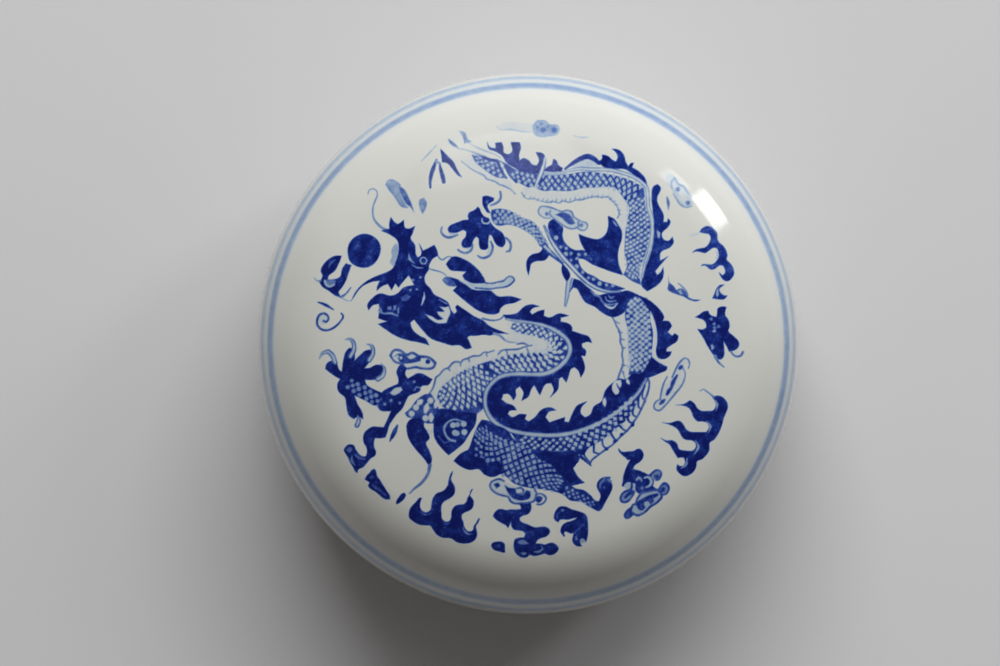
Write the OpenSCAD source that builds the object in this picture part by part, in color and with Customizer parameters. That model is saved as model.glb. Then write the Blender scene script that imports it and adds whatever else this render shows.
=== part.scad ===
// A round lidded box of glazed porcelain that holds a lump of red seal paste.
// It comes apart into three pieces: the lid, the base and the paste.
// The origin is at the centre of the face that the foot stands on, and +Z is up.

/* [Overall] */
// Outer diameter of the lid and the base where they meet
body_d = 90; // [80:1:110]
// Height of the seat where the lid rests on the base
seam_z = 19; // [17:0.5:23]
// Radius that rounds the outer edges of the lid and the base at the seam
seam_round = 0.6; // [0.3:0.1:1]

/* [Lid] */
// Straight height of the lid's side above the seam
lid_skirt_h = 2; // [1:0.5:3]
// Radius of the shoulder that turns the side into the dome
lid_shoulder_r = 17; // [14:0.5:20]
// Radius of the sphere that the shallow top follows
lid_dome_r = 150; // [110:5:220]
// Thickness of the lid's wall
lid_wall = 3.5; // [3:0.1:4]

/* [Base] */
// Thickness of the base's wall and floor
base_wall = 4.2; // [3.8:0.1:4.8]
// Straight height of the base's side below the seam
base_skirt_h = 3; // [2:0.5:4]
// Thickness of the collar that stands up inside the lid
collar_wall = 1.8; // [1.5:0.1:2]
// Height of the collar above the seat
collar_h = 4; // [3:0.5:5]
// Outer diameter of the foot ring
foot_d = 61; // [54:1:64]
// Width of the foot ring
foot_w = 3.4; // [2.6:0.2:4.2]
// Height of the foot ring, which is also the depth of the hollow under the base
foot_h = 2; // [1.5:0.25:3]
// Radius that rounds the foot ring's edges
foot_round = 0.8; // [0.4:0.1:1.1]

/* [Fit of the lid] */
// Gap between the collar and the lid, all round
collar_clearance = 0.4; // [0.2:0.05:0.6]
// Gap between the collar's tip and the ledge inside the lid
collar_top_gap = 0.6; // [0.4:0.1:1.2]

/* [Seal paste] */
// Gap between the lump of paste and the wall of the well, all round
paste_gap = 6.8; // [5.8:0.2:10.8]
// Radius of the lump's rounded side
paste_side_r = 4.5; // [3.5:0.25:5]
// Radius of the sphere that the lump's top follows
paste_dome_r = 200; // [140:10:300]

/* [Hidden] */
$fn = 180;

body_r = body_d / 2;

// The base's outer side is a quarter circle between the foot and the straight part of its side.
base_shoulder_z = seam_z - base_skirt_h;
base_shoulder_r = base_shoulder_z - foot_h;
base_shoulder_x = body_r - base_shoulder_r;
well_r = body_r - base_wall;
well_floor_z = foot_h + base_wall;
collar_r = well_r + collar_wall;
collar_top_z = seam_z + collar_h;
foot_r = foot_d / 2;
paste_r = well_r - paste_gap;

lid_shoulder_z = seam_z + lid_skirt_h;
rebate_r = collar_r + collar_clearance;
rebate_top_z = collar_top_z + collar_top_gap;

glaze_colour = [0.93, 0.94, 0.91];
paste_colour = [0.72, 0.09, 0.06];

// Half outline of a domed lump: a shallow dome that a round side of radius side_r meets
// smoothly, down to the side's own lowest point. The side's centre lies at side_z.
module domed_outline(edge_r, side_r, dome_r, side_z) {
    side_x = edge_r - side_r;
    rise = sqrt(pow(dome_r - side_r, 2) - pow(side_x, 2));
    clear_of_dome = dome_r + 1;
    intersection() {
        translate([0, side_z - rise]) circle(dome_r);
        polygon([
            [0, side_z - side_r],
            [side_x, side_z - side_r],
            [side_x, side_z],
            [side_x * clear_of_dome / rise, side_z - rise + clear_of_dome],
            [0, side_z - rise + clear_of_dome]
        ]);
    }
    translate([side_x, side_z]) circle(side_r);
}

// What is cut away to round a corner at [x, z]. The solid lies towards into_x and into_z, each 1 or -1.
module corner_cut(x, z, r, into_x, into_z) {
    translate([x, z]) scale([into_x, into_z]) difference() {
        translate([-r, -r]) square(2 * r);
        translate([r, r]) circle(r);
        translate([r, -2 * r]) square(4 * r);
        translate([-2 * r, r]) square(4 * r);
    }
}

module lid_outer() {
    domed_outline(body_r, lid_shoulder_r, lid_dome_r, lid_shoulder_z);
    translate([0, seam_z]) square([body_r, lid_skirt_h]);
}

module lid_hollow() {
    domed_outline(body_r - lid_wall, lid_shoulder_r - lid_wall, lid_dome_r - lid_wall, lid_shoulder_z);
    translate([0, seam_z]) square([rebate_r, rebate_top_z - seam_z]);
}

// Upright half plane above a height, which keeps an outline above it.
module above(z) {
    translate([0, z]) square([body_r + 1, body_r]);
}

module lid_section() {
    difference() {
        intersection() {
            lid_outer();
            above(seam_z);
        }
        lid_hollow();
        corner_cut(body_r, seam_z, seam_round, -1, 1);
    }
}

module lid() {
    color(glaze_colour) rotate_extrude() lid_section();
}

module base_section() {
    collar_tip_r = collar_wall / 2;
    difference() {
        union() {
            translate([0, foot_h]) square([base_shoulder_x, base_shoulder_z - foot_h]);
            translate([base_shoulder_x, base_shoulder_z]) intersection() {
                circle(base_shoulder_r);
                translate([0, -base_shoulder_r]) square(base_shoulder_r);
            }
            translate([0, base_shoulder_z]) square([body_r, base_skirt_h]);
            translate([0, base_shoulder_z]) square([collar_r, collar_top_z - collar_tip_r - base_shoulder_z]);
            translate([collar_r - collar_tip_r, collar_top_z - collar_tip_r]) circle(collar_tip_r);
            foot_section();
        }
        well_section();
        corner_cut(body_r, seam_z, seam_round, -1, -1);
    }
}

// The ring that the base stands on, let into the floor by half its thickness.
module foot_section() {
    difference() {
        translate([foot_r - foot_w, 0]) square([foot_w, foot_h + base_wall / 2]);
        corner_cut(foot_r, 0, foot_round, -1, 1);
        corner_cut(foot_r - foot_w, 0, foot_round, 1, 1);
    }
}

// The hollow that holds the paste: a flat floor, a round cove and an upright wall.
module well_section() {
    cove_r = base_shoulder_r - base_wall;
    cove_x = well_r - cove_r;
    translate([0, well_floor_z]) square([cove_x, collar_top_z - well_floor_z + 1]);
    translate([cove_x, well_floor_z + cove_r]) circle(cove_r);
    translate([0, well_floor_z + cove_r]) square([well_r, collar_top_z - well_floor_z - cove_r + 1]);
}

module base() {
    color(glaze_colour) rotate_extrude() base_section();
}

module seal_paste() {
    color(paste_colour) rotate_extrude() intersection() {
        domed_outline(paste_r, paste_side_r, paste_dome_r, well_floor_z + paste_side_r);
        above(well_floor_z);
    }
}

base();
lid();
seal_paste();
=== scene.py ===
import math

import bmesh
import bpy
import numpy as np
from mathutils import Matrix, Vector


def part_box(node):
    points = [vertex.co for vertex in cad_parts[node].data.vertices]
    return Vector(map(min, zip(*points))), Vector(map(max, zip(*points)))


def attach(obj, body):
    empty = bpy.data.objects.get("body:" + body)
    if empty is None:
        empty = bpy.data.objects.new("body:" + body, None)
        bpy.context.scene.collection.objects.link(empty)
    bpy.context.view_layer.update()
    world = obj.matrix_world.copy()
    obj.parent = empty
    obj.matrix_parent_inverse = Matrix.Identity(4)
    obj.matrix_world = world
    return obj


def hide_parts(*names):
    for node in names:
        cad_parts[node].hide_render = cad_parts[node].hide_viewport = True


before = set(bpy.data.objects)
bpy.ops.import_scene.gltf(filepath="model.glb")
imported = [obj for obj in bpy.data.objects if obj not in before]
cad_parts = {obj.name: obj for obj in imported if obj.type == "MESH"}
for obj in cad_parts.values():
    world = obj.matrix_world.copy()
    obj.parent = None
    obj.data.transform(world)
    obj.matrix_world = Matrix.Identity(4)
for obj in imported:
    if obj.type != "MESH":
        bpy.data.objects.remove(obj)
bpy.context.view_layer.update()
MM = 0.001

# Camera. The photograph was taken from straight above the closed box, with the dragon's top side up.
# The box stands a little right of and below the middle of the picture.
CAMERA_HEIGHT, SHOULDER_HEIGHT = 430 * MM, 22.9 * MM
CAMERA_LEFT, CAMERA_FORWARD = 4.63 * MM, 1.76 * MM
VIEW_WIDTH_AT_SHOULDER = 166.0 * MM
SEEN_FROM, SEEN_TO = 10 * MM, 20.0
scene = bpy.context.scene


def put(name, data):
    """A new object in the scene that holds the data."""
    made = bpy.data.objects.new(name, data)
    scene.collection.objects.link(made)
    return made


eye = put("camera", bpy.data.cameras.new("camera"))
eye.location = (-CAMERA_LEFT, CAMERA_FORWARD, CAMERA_HEIGHT)
eye.data.lens = eye.data.sensor_width * (CAMERA_HEIGHT - SHOULDER_HEIGHT) / VIEW_WIDTH_AT_SHOULDER
eye.data.clip_start, eye.data.clip_end = SEEN_FROM, SEEN_TO
scene.camera = eye
scene.view_settings.view_transform = "Standard"


# Studio. A pale matt table under the box, a broad soft light from the far side, three small windows that the
# glaze mirrors, and dim walls, which are paler at the level of the table than overhead and dimmest nearby.
TABLE_WIDTH = 6.0
TABLE_COLOUR, TABLE_PALE = (0.640, 0.640, 0.655, 1), (0.675, 0.675, 0.690, 1)
PAPER_ROUGHNESS, PAPER_RELIEF, PAPER_BUMP = 0.9, 0.05 * MM, 0.1
LAMP, DAYLIGHT = (1.0, 0.995, 0.985), (0.98, 0.99, 1.0)
WALL_LOW, WALL_HIGH, WALL_NEAR = (0.31, 0.305, 0.30, 1), (0.12, 0.116, 0.112, 1), (0.085, 0.075, 0.068, 1)


def feed(tree, node, inputs):
    """Sets a node's inputs, each to a plain value or to the output socket that feeds it."""
    for key, value in inputs.items():
        if isinstance(value, bpy.types.NodeSocket):
            tree.links.new(value, node.inputs[key])
        else:
            node.inputs[key].default_value = value
    return node


def add_node(tree, kind, inputs=(), **settings):
    """A new node with its settings and inputs."""
    made = tree.nodes.new(kind)
    for name, value in settings.items():
        setattr(made, name, value)
    return feed(tree, made, dict(inputs))


def noise(tree, place, scale, detail=2.0, roughness=0.5):
    """Noise from 0 to 1 over a place, with its scale in lumps per metre."""
    return add_node(tree, "ShaderNodeTexNoise", {"Vector": place, "Scale": scale, "Detail": detail,
                                                 "Roughness": roughness}).outputs["Fac"]


def blended(tree, factor, low, high):
    """A colour between two, by a factor from 0 to 1."""
    return add_node(tree, "ShaderNodeMix", {0: factor, 6: low, 7: high}, data_type="RGBA").outputs[2]


def bumped(tree, height, strength, distance):
    """The normal of a surface with a fine relief."""
    return add_node(tree, "ShaderNodeBump", {"Height": height, "Strength": strength,
                                             "Distance": distance}).outputs["Normal"]


def new_material(name):
    """A material, its node tree, its Principled shader and the place on the object."""
    made = bpy.data.materials.new(name)
    made.use_nodes = True
    tree = made.node_tree
    return made, tree, tree.nodes["Principled BSDF"], add_node(tree, "ShaderNodeTexCoord").outputs["Object"]


table_mesh = bpy.data.meshes.new("table")
corners = [(x * TABLE_WIDTH / 2, y * TABLE_WIDTH / 2, 0) for x, y in ((-1, -1), (1, -1), (1, 1), (-1, 1))]
table_mesh.from_pydata(corners, [], [(0, 1, 2, 3)])
put("table", table_mesh)
paper, tree, matt, place = new_material("table_paper")
table_mesh.materials.append(paper)
fibres, clouding = noise(tree, place, scale=900.0, detail=3.0), noise(tree, place, scale=9.0)
feed(tree, matt, {"Base Color": blended(tree, clouding, TABLE_COLOUR, TABLE_PALE), "Roughness": PAPER_ROUGHNESS,
                  "Normal": bumped(tree, fibres, PAPER_BUMP, PAPER_RELIEF)})


def soft_light(name, size, azimuth, elevation, distance, power, colour, mirrored=True):
    """A soft rectangle of light that faces the lid. Azimuth turns from +X towards +Y, both in degrees."""
    lamp = put(name, bpy.data.lights.new(name, "AREA"))
    lamp.data.shape = "RECTANGLE"
    lamp.data.size, lamp.data.size_y = size
    lamp.data.energy, lamp.data.color = power, colour
    a, e = math.radians(azimuth), math.radians(elevation)
    away = Vector((math.cos(a) * math.cos(e), math.sin(a) * math.cos(e), math.sin(e)))
    lamp.location = away * distance
    lamp.rotation_euler = away.to_track_quat("Z", "Y").to_euler()
    lamp.visible_glossy = mirrored


soft_light("broad_light", (1.4, 0.4), azimuth=84, elevation=40, distance=1.4, power=18.1, colour=LAMP,
           mirrored=False)
soft_light("window_right", (0.25, 0.58), azimuth=36, elevation=26, distance=1.5, power=4.0, colour=DAYLIGHT)
soft_light("window_far", (0.17, 0.42), azimuth=47, elevation=35, distance=1.5, power=0.75, colour=DAYLIGHT)
soft_light("window_above", (0.60, 0.62), azimuth=97, elevation=54, distance=1.5, power=1.8, colour=DAYLIGHT)


def spread(tree, value, low, high, to_low=0.0, to_high=1.0, course="LINEAR"):
    """Takes a value from one range to another and holds it within that."""
    return add_node(tree, "ShaderNodeMapRange", {0: value, 1: low, 2: high, 3: to_low, 4: to_high},
                    interpolation_type=course).outputs[0]


world = bpy.data.worlds.new("studio")
world.use_nodes = True
scene.world = world
tree = world.node_tree
direction = add_node(tree, "ShaderNodeTexCoord").outputs["Generated"]
heading = add_node(tree, "ShaderNodeSeparateXYZ", {0: direction}).outputs
walls = blended(tree, spread(tree, heading["Z"], 0.0, 0.7), WALL_LOW, WALL_HIGH)
room = blended(tree, spread(tree, heading["Y"], 0.1, -0.7, course="SMOOTHSTEP"), walls, WALL_NEAR)
feed(tree, tree.nodes["Background"], {"Color": room})


# Lid. A thick-walled porcelain shell, turned on the wheel: a shallow dome, a round shoulder and a short
# upright side. A step inside its lower edge fits round the base's collar. It is glazed all over but for
# the edge and the step that touch the base, and soft cobalt lines are brushed round its shoulder.
lid_low, lid_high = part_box("lid")
BODY_RADIUS, SEAM = lid_high.x, lid_low.z
LID_SKIRT, LID_SHOULDER, LID_DOME, LID_WALL = 2 * MM, 17 * MM, 150 * MM, 3.5 * MM
STEP_RADIUS, STEP_TOP = 43.0 * MM, 23.6 * MM
SEAM_ROUND, STEP_ROUND, STEP_CORNER, STEP_CORNER_DROP = 0.6 * MM, 0.25 * MM, 0.1 * MM, 0.2 * MM
SHOULDER_X, SHOULDER_Z = BODY_RADIUS - LID_SHOULDER, SEAM + LID_SKIRT
DOME_Z = SHOULDER_Z - math.sqrt((LID_DOME - LID_SHOULDER) ** 2 - SHOULDER_X ** 2)
DOME_EDGE = math.asin(SHOULDER_X / (LID_DOME - LID_SHOULDER))
STEP_EDGE = math.acos((STEP_TOP - SHOULDER_Z) / (LID_SHOULDER - LID_WALL))
RIGHT = math.pi / 2


def arc(x, z, radius, start, end, step):
    """Points along an arc of a profile. Angles are in radians, from straight up towards +X."""
    count = max(2, math.ceil(abs(end - start) * radius / step))
    turns = [start + (end - start) * i / count for i in range(count + 1)]
    return [(x + radius * math.sin(a), z + radius * math.cos(a)) for a in turns]


lid_profile = (
    arc(0, DOME_Z, LID_DOME, 0, DOME_EDGE, step=1.2 * MM)
    + arc(SHOULDER_X, SHOULDER_Z, LID_SHOULDER, DOME_EDGE, RIGHT, step=0.5 * MM)
    + arc(BODY_RADIUS - SEAM_ROUND, SEAM + SEAM_ROUND, SEAM_ROUND, RIGHT, 2 * RIGHT, step=0.15 * MM)
    + arc(STEP_RADIUS + STEP_ROUND, SEAM + STEP_ROUND, STEP_ROUND, 2 * RIGHT, 3 * RIGHT, step=0.1 * MM)
    + [(STEP_RADIUS, STEP_TOP - STEP_CORNER_DROP), (STEP_RADIUS - STEP_CORNER, STEP_TOP)]
    + arc(SHOULDER_X, SHOULDER_Z, LID_SHOULDER - LID_WALL, STEP_EDGE, DOME_EDGE, step=0.7 * MM)
    + arc(0, DOME_Z, LID_DOME - LID_WALL, DOME_EDGE, 0, step=1.6 * MM)
)


def node_group(name, kind, inputs, outputs):
    """An empty node group. An input goes by its default or, like an output, by the kind of its socket."""
    tree = bpy.data.node_groups.new(name, kind)
    for label, value in inputs.items():
        of_kind = {float: "Float", int: "Int"}.get(type(value), value)
        socket = tree.interface.new_socket(label, in_out="INPUT", socket_type="NodeSocket" + of_kind)
        if of_kind != value:
            socket.default_value = value
    for label, of_kind in outputs.items():
        tree.interface.new_socket(label, in_out="OUTPUT", socket_type="NodeSocket" + of_kind)
    return tree, tree.nodes.new("NodeGroupInput").outputs


def end_geometry(tree, geometry, finish):
    """Ends a Geometry Nodes tree with real geometry in its material."""
    whole = add_node(tree, "GeometryNodeRealizeInstances", {0: geometry}).outputs[0]
    glazed = add_node(tree, "GeometryNodeSetMaterial", {"Geometry": whole, "Material": finish}).outputs[0]
    add_node(tree, "NodeGroupOutput", {0: glazed})


def maths(tree, operation, *values):
    """Math nodes on plain values or sockets. More than two values are taken in turn, from left to right."""
    result = values[0]
    for value in values[1:] or (0.0,):
        result = add_node(tree, "ShaderNodeMath", {0: result, 1: value}, operation=operation).outputs[0]
    return result


# Takes a profile round the Z axis on a hub so thin that its points meet in one where they reach the axis.
turning, given = node_group("turned_shell", "GeometryNodeTree", {
    "Profile": "Geometry", "Hub": 1 * MM, "Segments": 320, "Weld": 0.001 * MM, "Finish": "Material"},
    {"Shell": "Geometry"})
hub = add_node(turning, "GeometryNodeCurvePrimitiveCircle", {"Resolution": given["Segments"],
                                                             "Radius": given["Hub"]}).outputs[0]
upright = add_node(turning, "GeometryNodeSetCurveNormal", {"Curve": hub}, mode="Z_UP").outputs[0]
inward = maths(turning, "MULTIPLY", given["Hub"], -1.0)
shift = add_node(turning, "ShaderNodeCombineXYZ", {0: inward}).outputs[0]
flipped = add_node(turning, "GeometryNodeTransform", {"Geometry": given["Profile"], "Translation": shift,
                                                      "Rotation": (math.pi, 0, 0)}).outputs[0]
swept = add_node(turning, "GeometryNodeCurveToMesh", {"Curve": upright, "Profile Curve": flipped}).outputs[0]
welded = add_node(turning, "GeometryNodeMergeByDistance", {"Geometry": swept,
                                                           "Distance": given["Weld"]}).outputs[0]
smooth = add_node(turning, "GeometryNodeSetShadeSmooth", {"Geometry": welded}).outputs[0]
end_geometry(turning, smooth, given["Finish"])


def plain_mesh(name, data, tree, settings):
    """Runs a Geometry Nodes tree on a curve or mesh and returns a plain object with the result."""
    source = put(name + "_source", data)
    modifier = source.modifiers.new("make", "NODES")
    modifier.node_group = tree
    sockets = {s.name: s.identifier for s in tree.interface.items_tree if s.item_type == "SOCKET"}
    for key, value in settings.items():
        modifier[sockets[key]] = value
    mesh = bpy.data.meshes.new_from_object(source.evaluated_get(bpy.context.evaluated_depsgraph_get()))
    source.modifiers.remove(modifier)
    bpy.data.objects.remove(source)
    mesh.name = name
    return put(name, mesh)


def polyline(name, points, radii=()):
    """An open polyline through flat points, each with its radius where radii are given."""
    curve = bpy.data.curves.new(name, "CURVE")
    curve.dimensions = "3D"
    line = curve.splines.new("POLY")
    line.points.add(len(points) - 1)
    for point, (x, y) in zip(line.points, points):
        point.co = (x, y, 0, 1)
    for point, radius in zip(line.points, radii):
        point.radius = radius
    return curve


def turned(name, profile, finish, segments=320):
    """A piece turned about +Z from its profile of radius and height, with its faces outwards."""
    made = plain_mesh(name, polyline(name, profile), turning, {"Segments": segments, "Finish": finish})
    shell = bmesh.new()
    shell.from_mesh(made.data)
    bmesh.ops.recalc_face_normals(shell, faces=shell.faces)
    shell.to_mesh(made.data)
    shell.free()
    return made


# Glaze and cobalt, first used on the lid. Every porcelain surface is a white clay body under a clear, faintly
# green glaze. The painting and the lines are cobalt, brushed on before the glaze and fired with it, so it
# bleeds a little into the glaze at its edges and breaks up into fine flecks where it is thick.
GLAZE_WHITE, GLAZE_WARM = (0.660, 0.668, 0.636, 1), (0.610, 0.618, 0.584, 1)
BISCUIT, BISCUIT_DARK, BISCUIT_ROUGHNESS = (0.640, 0.590, 0.505, 1), (0.52, 0.475, 0.40, 1), 0.75
BARE_BELOW, POOLING, PINHOLES = 0.16, 1.1, 0.30
COBALT_STEPS = ((0.0, GLAZE_WHITE), (BARE_BELOW, (0.420, 0.512, 0.606, 1)), (0.36, (0.178, 0.272, 0.478, 1)),
                (0.60, (0.040, 0.085, 0.355, 1)), (0.80, (0.007, 0.028, 0.232, 1)),
                (1.0, (0.001, 0.008, 0.128, 1)))
GLAZE_IOR, GLAZE_RELIEF, GLAZE_BUMP, GLOSSIEST, DULLEST = 1.5, 0.012 * MM, 0.35, 0.06, 0.13
LINE_FLECK, LINE_EDGE, THIN_LOAD, WIPE_SHAKE = 0.5, (-0.4, 0.75), 0.78, 0.3 * MM


def from_axis(tree, place):
    """How far a place is from the Z axis."""
    flat = add_node(tree, "ShaderNodeVectorMath", {0: place, 1: (1, 1, 0)}, operation="MULTIPLY").outputs[0]
    return add_node(tree, "ShaderNodeVectorMath", {0: flat}, operation="LENGTH").outputs["Value"]


def ramp(tree, factor, steps):
    """A colour ramp with the given steps of position and colour."""
    made = add_node(tree, "ShaderNodeValToRGB", {"Fac": factor})
    while len(made.color_ramp.elements) < len(steps):
        made.color_ramp.elements.new(1.0)
    for element, (position, colour) in zip(made.color_ramp.elements, steps):
        element.position, element.color = position, colour
    return made.outputs["Color"]


# How dark the glaze looks under so much cobalt. Density runs from 0, none, to 1, a loaded brush.
cobalt_group, given = node_group("cobalt_under_glaze", "ShaderNodeTree", {"Density": 0.0, "Fleck": 1.0},
                                 {"Color": "Color", "Roughness": "Float", "Height": "Float"})
tree = cobalt_group
place = add_node(tree, "ShaderNodeTexCoord").outputs["Object"]
clouding, ripple = noise(tree, place, scale=60.0), noise(tree, place, scale=260.0, detail=1.0)
pooling = noise(tree, place, scale=620.0, detail=2.5, roughness=0.6)
flecks = add_node(tree, "ShaderNodeTexVoronoi", {"Vector": place, "Scale": 1600.0}).outputs["Distance"]
swell = maths(tree, "MULTIPLY", maths(tree, "SUBTRACT", pooling, 0.5), POOLING)
loss = maths(tree, "SUBTRACT", swell, spread(tree, flecks, 0.02, 0.30, to_low=PINHOLES, to_high=0.0))
strength = maths(tree, "MULTIPLY", loss, given["Density"], given["Fleck"])
density = add_node(tree, "ShaderNodeClamp", {0: maths(tree, "ADD", given["Density"], strength)}).outputs[0]
body_white = blended(tree, clouding, GLAZE_WHITE, GLAZE_WARM)
shown = blended(tree, spread(tree, density, 0.0, BARE_BELOW), body_white, ramp(tree, density, COBALT_STEPS))
gloss = spread(tree, clouding, 0.0, 1.0, to_low=GLOSSIEST, to_high=DULLEST)
add_node(tree, "NodeGroupOutput", {"Color": shown, "Roughness": gloss, "Height": ripple})

# A line brushed round the outside of a turned piece: 1 on the line and 0 off it, with a wandering, uneven edge.
band_group, given = node_group("brushed_line", "ShaderNodeTree", {
    "Height": 0.03, "Width": 0.001, "Wander": 0.0002, "Outside": 40.95 * MM}, {"Mask": "Float"})
tree = band_group
place = add_node(tree, "ShaderNodeTexCoord").outputs["Object"]
along = add_node(tree, "ShaderNodeMapping", {"Vector": place, "Scale": (1, 1, 0.15)}).outputs[0]
sway = noise(tree, along, scale=30.0)
drift = maths(tree, "MULTIPLY", maths(tree, "SUBTRACT", sway, 0.5), given["Wander"])
outer = maths(tree, "GREATER_THAN", from_axis(tree, place), given["Outside"])
up = add_node(tree, "ShaderNodeSeparateXYZ", {0: place}).outputs["Z"]
off = maths(tree, "ABSOLUTE", maths(tree, "ADD", maths(tree, "SUBTRACT", up, given["Height"]), drift))
half_width = maths(tree, "MULTIPLY", given["Width"], 0.5)
edge = maths(tree, "DIVIDE", maths(tree, "SUBTRACT", half_width, off), half_width)
soft = spread(tree, edge, *LINE_EDGE, course="SMOOTHSTEP")
load = spread(tree, sway, 0.3, 0.7, to_low=THIN_LOAD)
add_node(tree, "NodeGroupOutput", {"Mask": maths(tree, "MULTIPLY", soft, load, outer)})

# Bare clay: 1 where the glaze was wiped off before firing, between two heights and two radii.
bare_group, given = node_group("wiped_clay", "ShaderNodeTree", {
    "From": 0.0, "To": 0.001, "Inner": 0.0, "Outer": 0.1}, {"Mask": "Float"})
tree = bare_group
place = add_node(tree, "ShaderNodeTexCoord").outputs["Object"]
reach = from_axis(tree, place)
shake = maths(tree, "MULTIPLY", maths(tree, "SUBTRACT", noise(tree, place, scale=420.0), 0.5), WIPE_SHAKE)
up = maths(tree, "ADD", add_node(tree, "ShaderNodeSeparateXYZ", {0: place}).outputs["Z"], shake)
tests = (maths(tree, "GREATER_THAN", up, given["From"]), maths(tree, "LESS_THAN", up, given["To"]),
         maths(tree, "GREATER_THAN", reach, given["Inner"]), maths(tree, "LESS_THAN", reach, given["Outer"]))
add_node(tree, "NodeGroupOutput", {"Mask": maths(tree, "MULTIPLY", *tests)})


def porcelain(name, lines=(), bare=(), attribute=None):
    """A glazed porcelain material. Lines are (height, width, density) and bare are (from, to, inner, outer)."""
    made, tree, surface, place = new_material(name)
    density = 0.0
    if attribute:
        density = add_node(tree, "ShaderNodeAttribute", attribute_name=attribute).outputs["Fac"]
    for height, width, depth in lines:
        line = add_node(tree, "ShaderNodeGroup", node_tree=band_group)
        feed(tree, line, {"Height": height, "Width": width})
        density = maths(tree, "ADD", density, maths(tree, "MULTIPLY", line.outputs["Mask"], depth))
    painted = add_node(tree, "ShaderNodeGroup", node_tree=cobalt_group)
    feed(tree, painted, {"Density": density, "Fleck": 1.0 if attribute else LINE_FLECK})
    colour, roughness = painted.outputs["Color"], painted.outputs["Roughness"]
    for low, high, inner, outer in bare:
        wiped = add_node(tree, "ShaderNodeGroup", node_tree=bare_group)
        feed(tree, wiped, {"From": low, "To": high, "Inner": inner, "Outer": outer})
        clay = blended(tree, noise(tree, place, scale=1500.0), BISCUIT, BISCUIT_DARK)
        colour = blended(tree, wiped.outputs["Mask"], colour, clay)
        roughness = spread(tree, wiped.outputs["Mask"], 0.0, 1.0, to_low=roughness, to_high=BISCUIT_ROUGHNESS)
    feed(tree, surface, {"Base Color": colour, "Roughness": roughness, "IOR": GLAZE_IOR,
                         "Normal": bumped(tree, painted.outputs["Height"], GLAZE_BUMP, GLAZE_RELIEF)})
    return made


BROAD_LINE, FINE_LINE = (30.5 * MM, 1.8 * MM, 0.24), (27.5 * MM, 2.0 * MM, 0.13)
BLUE_HAZE = (28.9 * MM, 6.6 * MM, 0.10)
WIPED_EDGE = (SEAM - MM, SEAM + 0.35 * MM, 0, 1)
WIPED_STEP = (SEAM, STEP_TOP + 0.1 * MM, 0, STEP_RADIUS + 0.25 * MM)
lid_glaze = porcelain("lid_glaze", lines=(BROAD_LINE, FINE_LINE, BLUE_HAZE), bare=(WIPED_EDGE, WIPED_STEP))
lid_shell = turned("lid_shell", lid_profile, lid_glaze)
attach(lid_shell, "lid")
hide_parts("lid")


# Painting. A dragon that chases a flaming pearl among clouds and flames, brushed on the raw lid in cobalt
# and fired under the glaze. Each motif is a film of coloured glaze, closed all round and let into the lid.
# The brush points are millimetres on the plan of the lid, with the dragon's head on the left.
PITCH, HALF, MARGIN = 0.125, 36.0, 0.5
BRUSH_STEP, FEATHER, FILM_EDGE = 0.25, 0.15, 0.45
BLEED_REACH, BLEED_TONE, OVERLAP, TIE_BREAK = 0.45, 0.09, 0.06, 0.001
CORNER = math.cos(math.radians(62))
FAR, UNPAINTED, RIM_NEAREST, RIM_FARTHEST = 99.0, -9.0, 0.06, 0.94
FILM_RISE, RISE_STEP, FILM_SINK, RIM_SINK = 0.012 * MM, 0.0004 * MM, 0.05 * MM, 0.004 * MM
grid_line = np.arange(-HALF, HALF + PITCH / 2, PITCH, dtype=np.float32)
cobalt = np.zeros((len(grid_line), len(grid_line)), dtype=np.float32)
depths = {}


def brush_path(text, closed):
    """A smooth path through the points "x,y x,y ...", with a corner wherever it turns sharply."""
    points = np.array([[float(v) for v in pair.split(",")] for pair in text.split()])
    count = len(points)
    last = count if closed else count - 1
    gaps = np.roll(points, -1, axis=0) - points
    lengths = np.maximum(np.hypot(gaps[:, 0], gaps[:, 1]), 1e-6)
    ways = gaps / lengths[:, None]
    samples = []
    for i in range(last):
        way, length = ways[i], lengths[i]
        before = ways[i - 1] if closed or i > 0 else way
        after = ways[(i + 1) % count] if closed or i < last - 1 else way
        start = before + way if before @ way > CORNER else way
        end = way + after if way @ after > CORNER else way
        start, end = start * length / np.hypot(*start), end * length / np.hypot(*end)
        steps = max(1, math.ceil(length / BRUSH_STEP))
        t = (np.arange(steps) / steps)[:, None]
        a, b = points[i], points[(i + 1) % count]
        samples.append(a * (2 * t**3 - 3 * t**2 + 1) + start * (t**3 - 2 * t**2 + t)
                       + b * (3 * t**2 - 2 * t**3) + end * (t**3 - t**2))
    if not closed:
        samples.append(points[-1:])
    return np.concatenate(samples)


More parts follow.
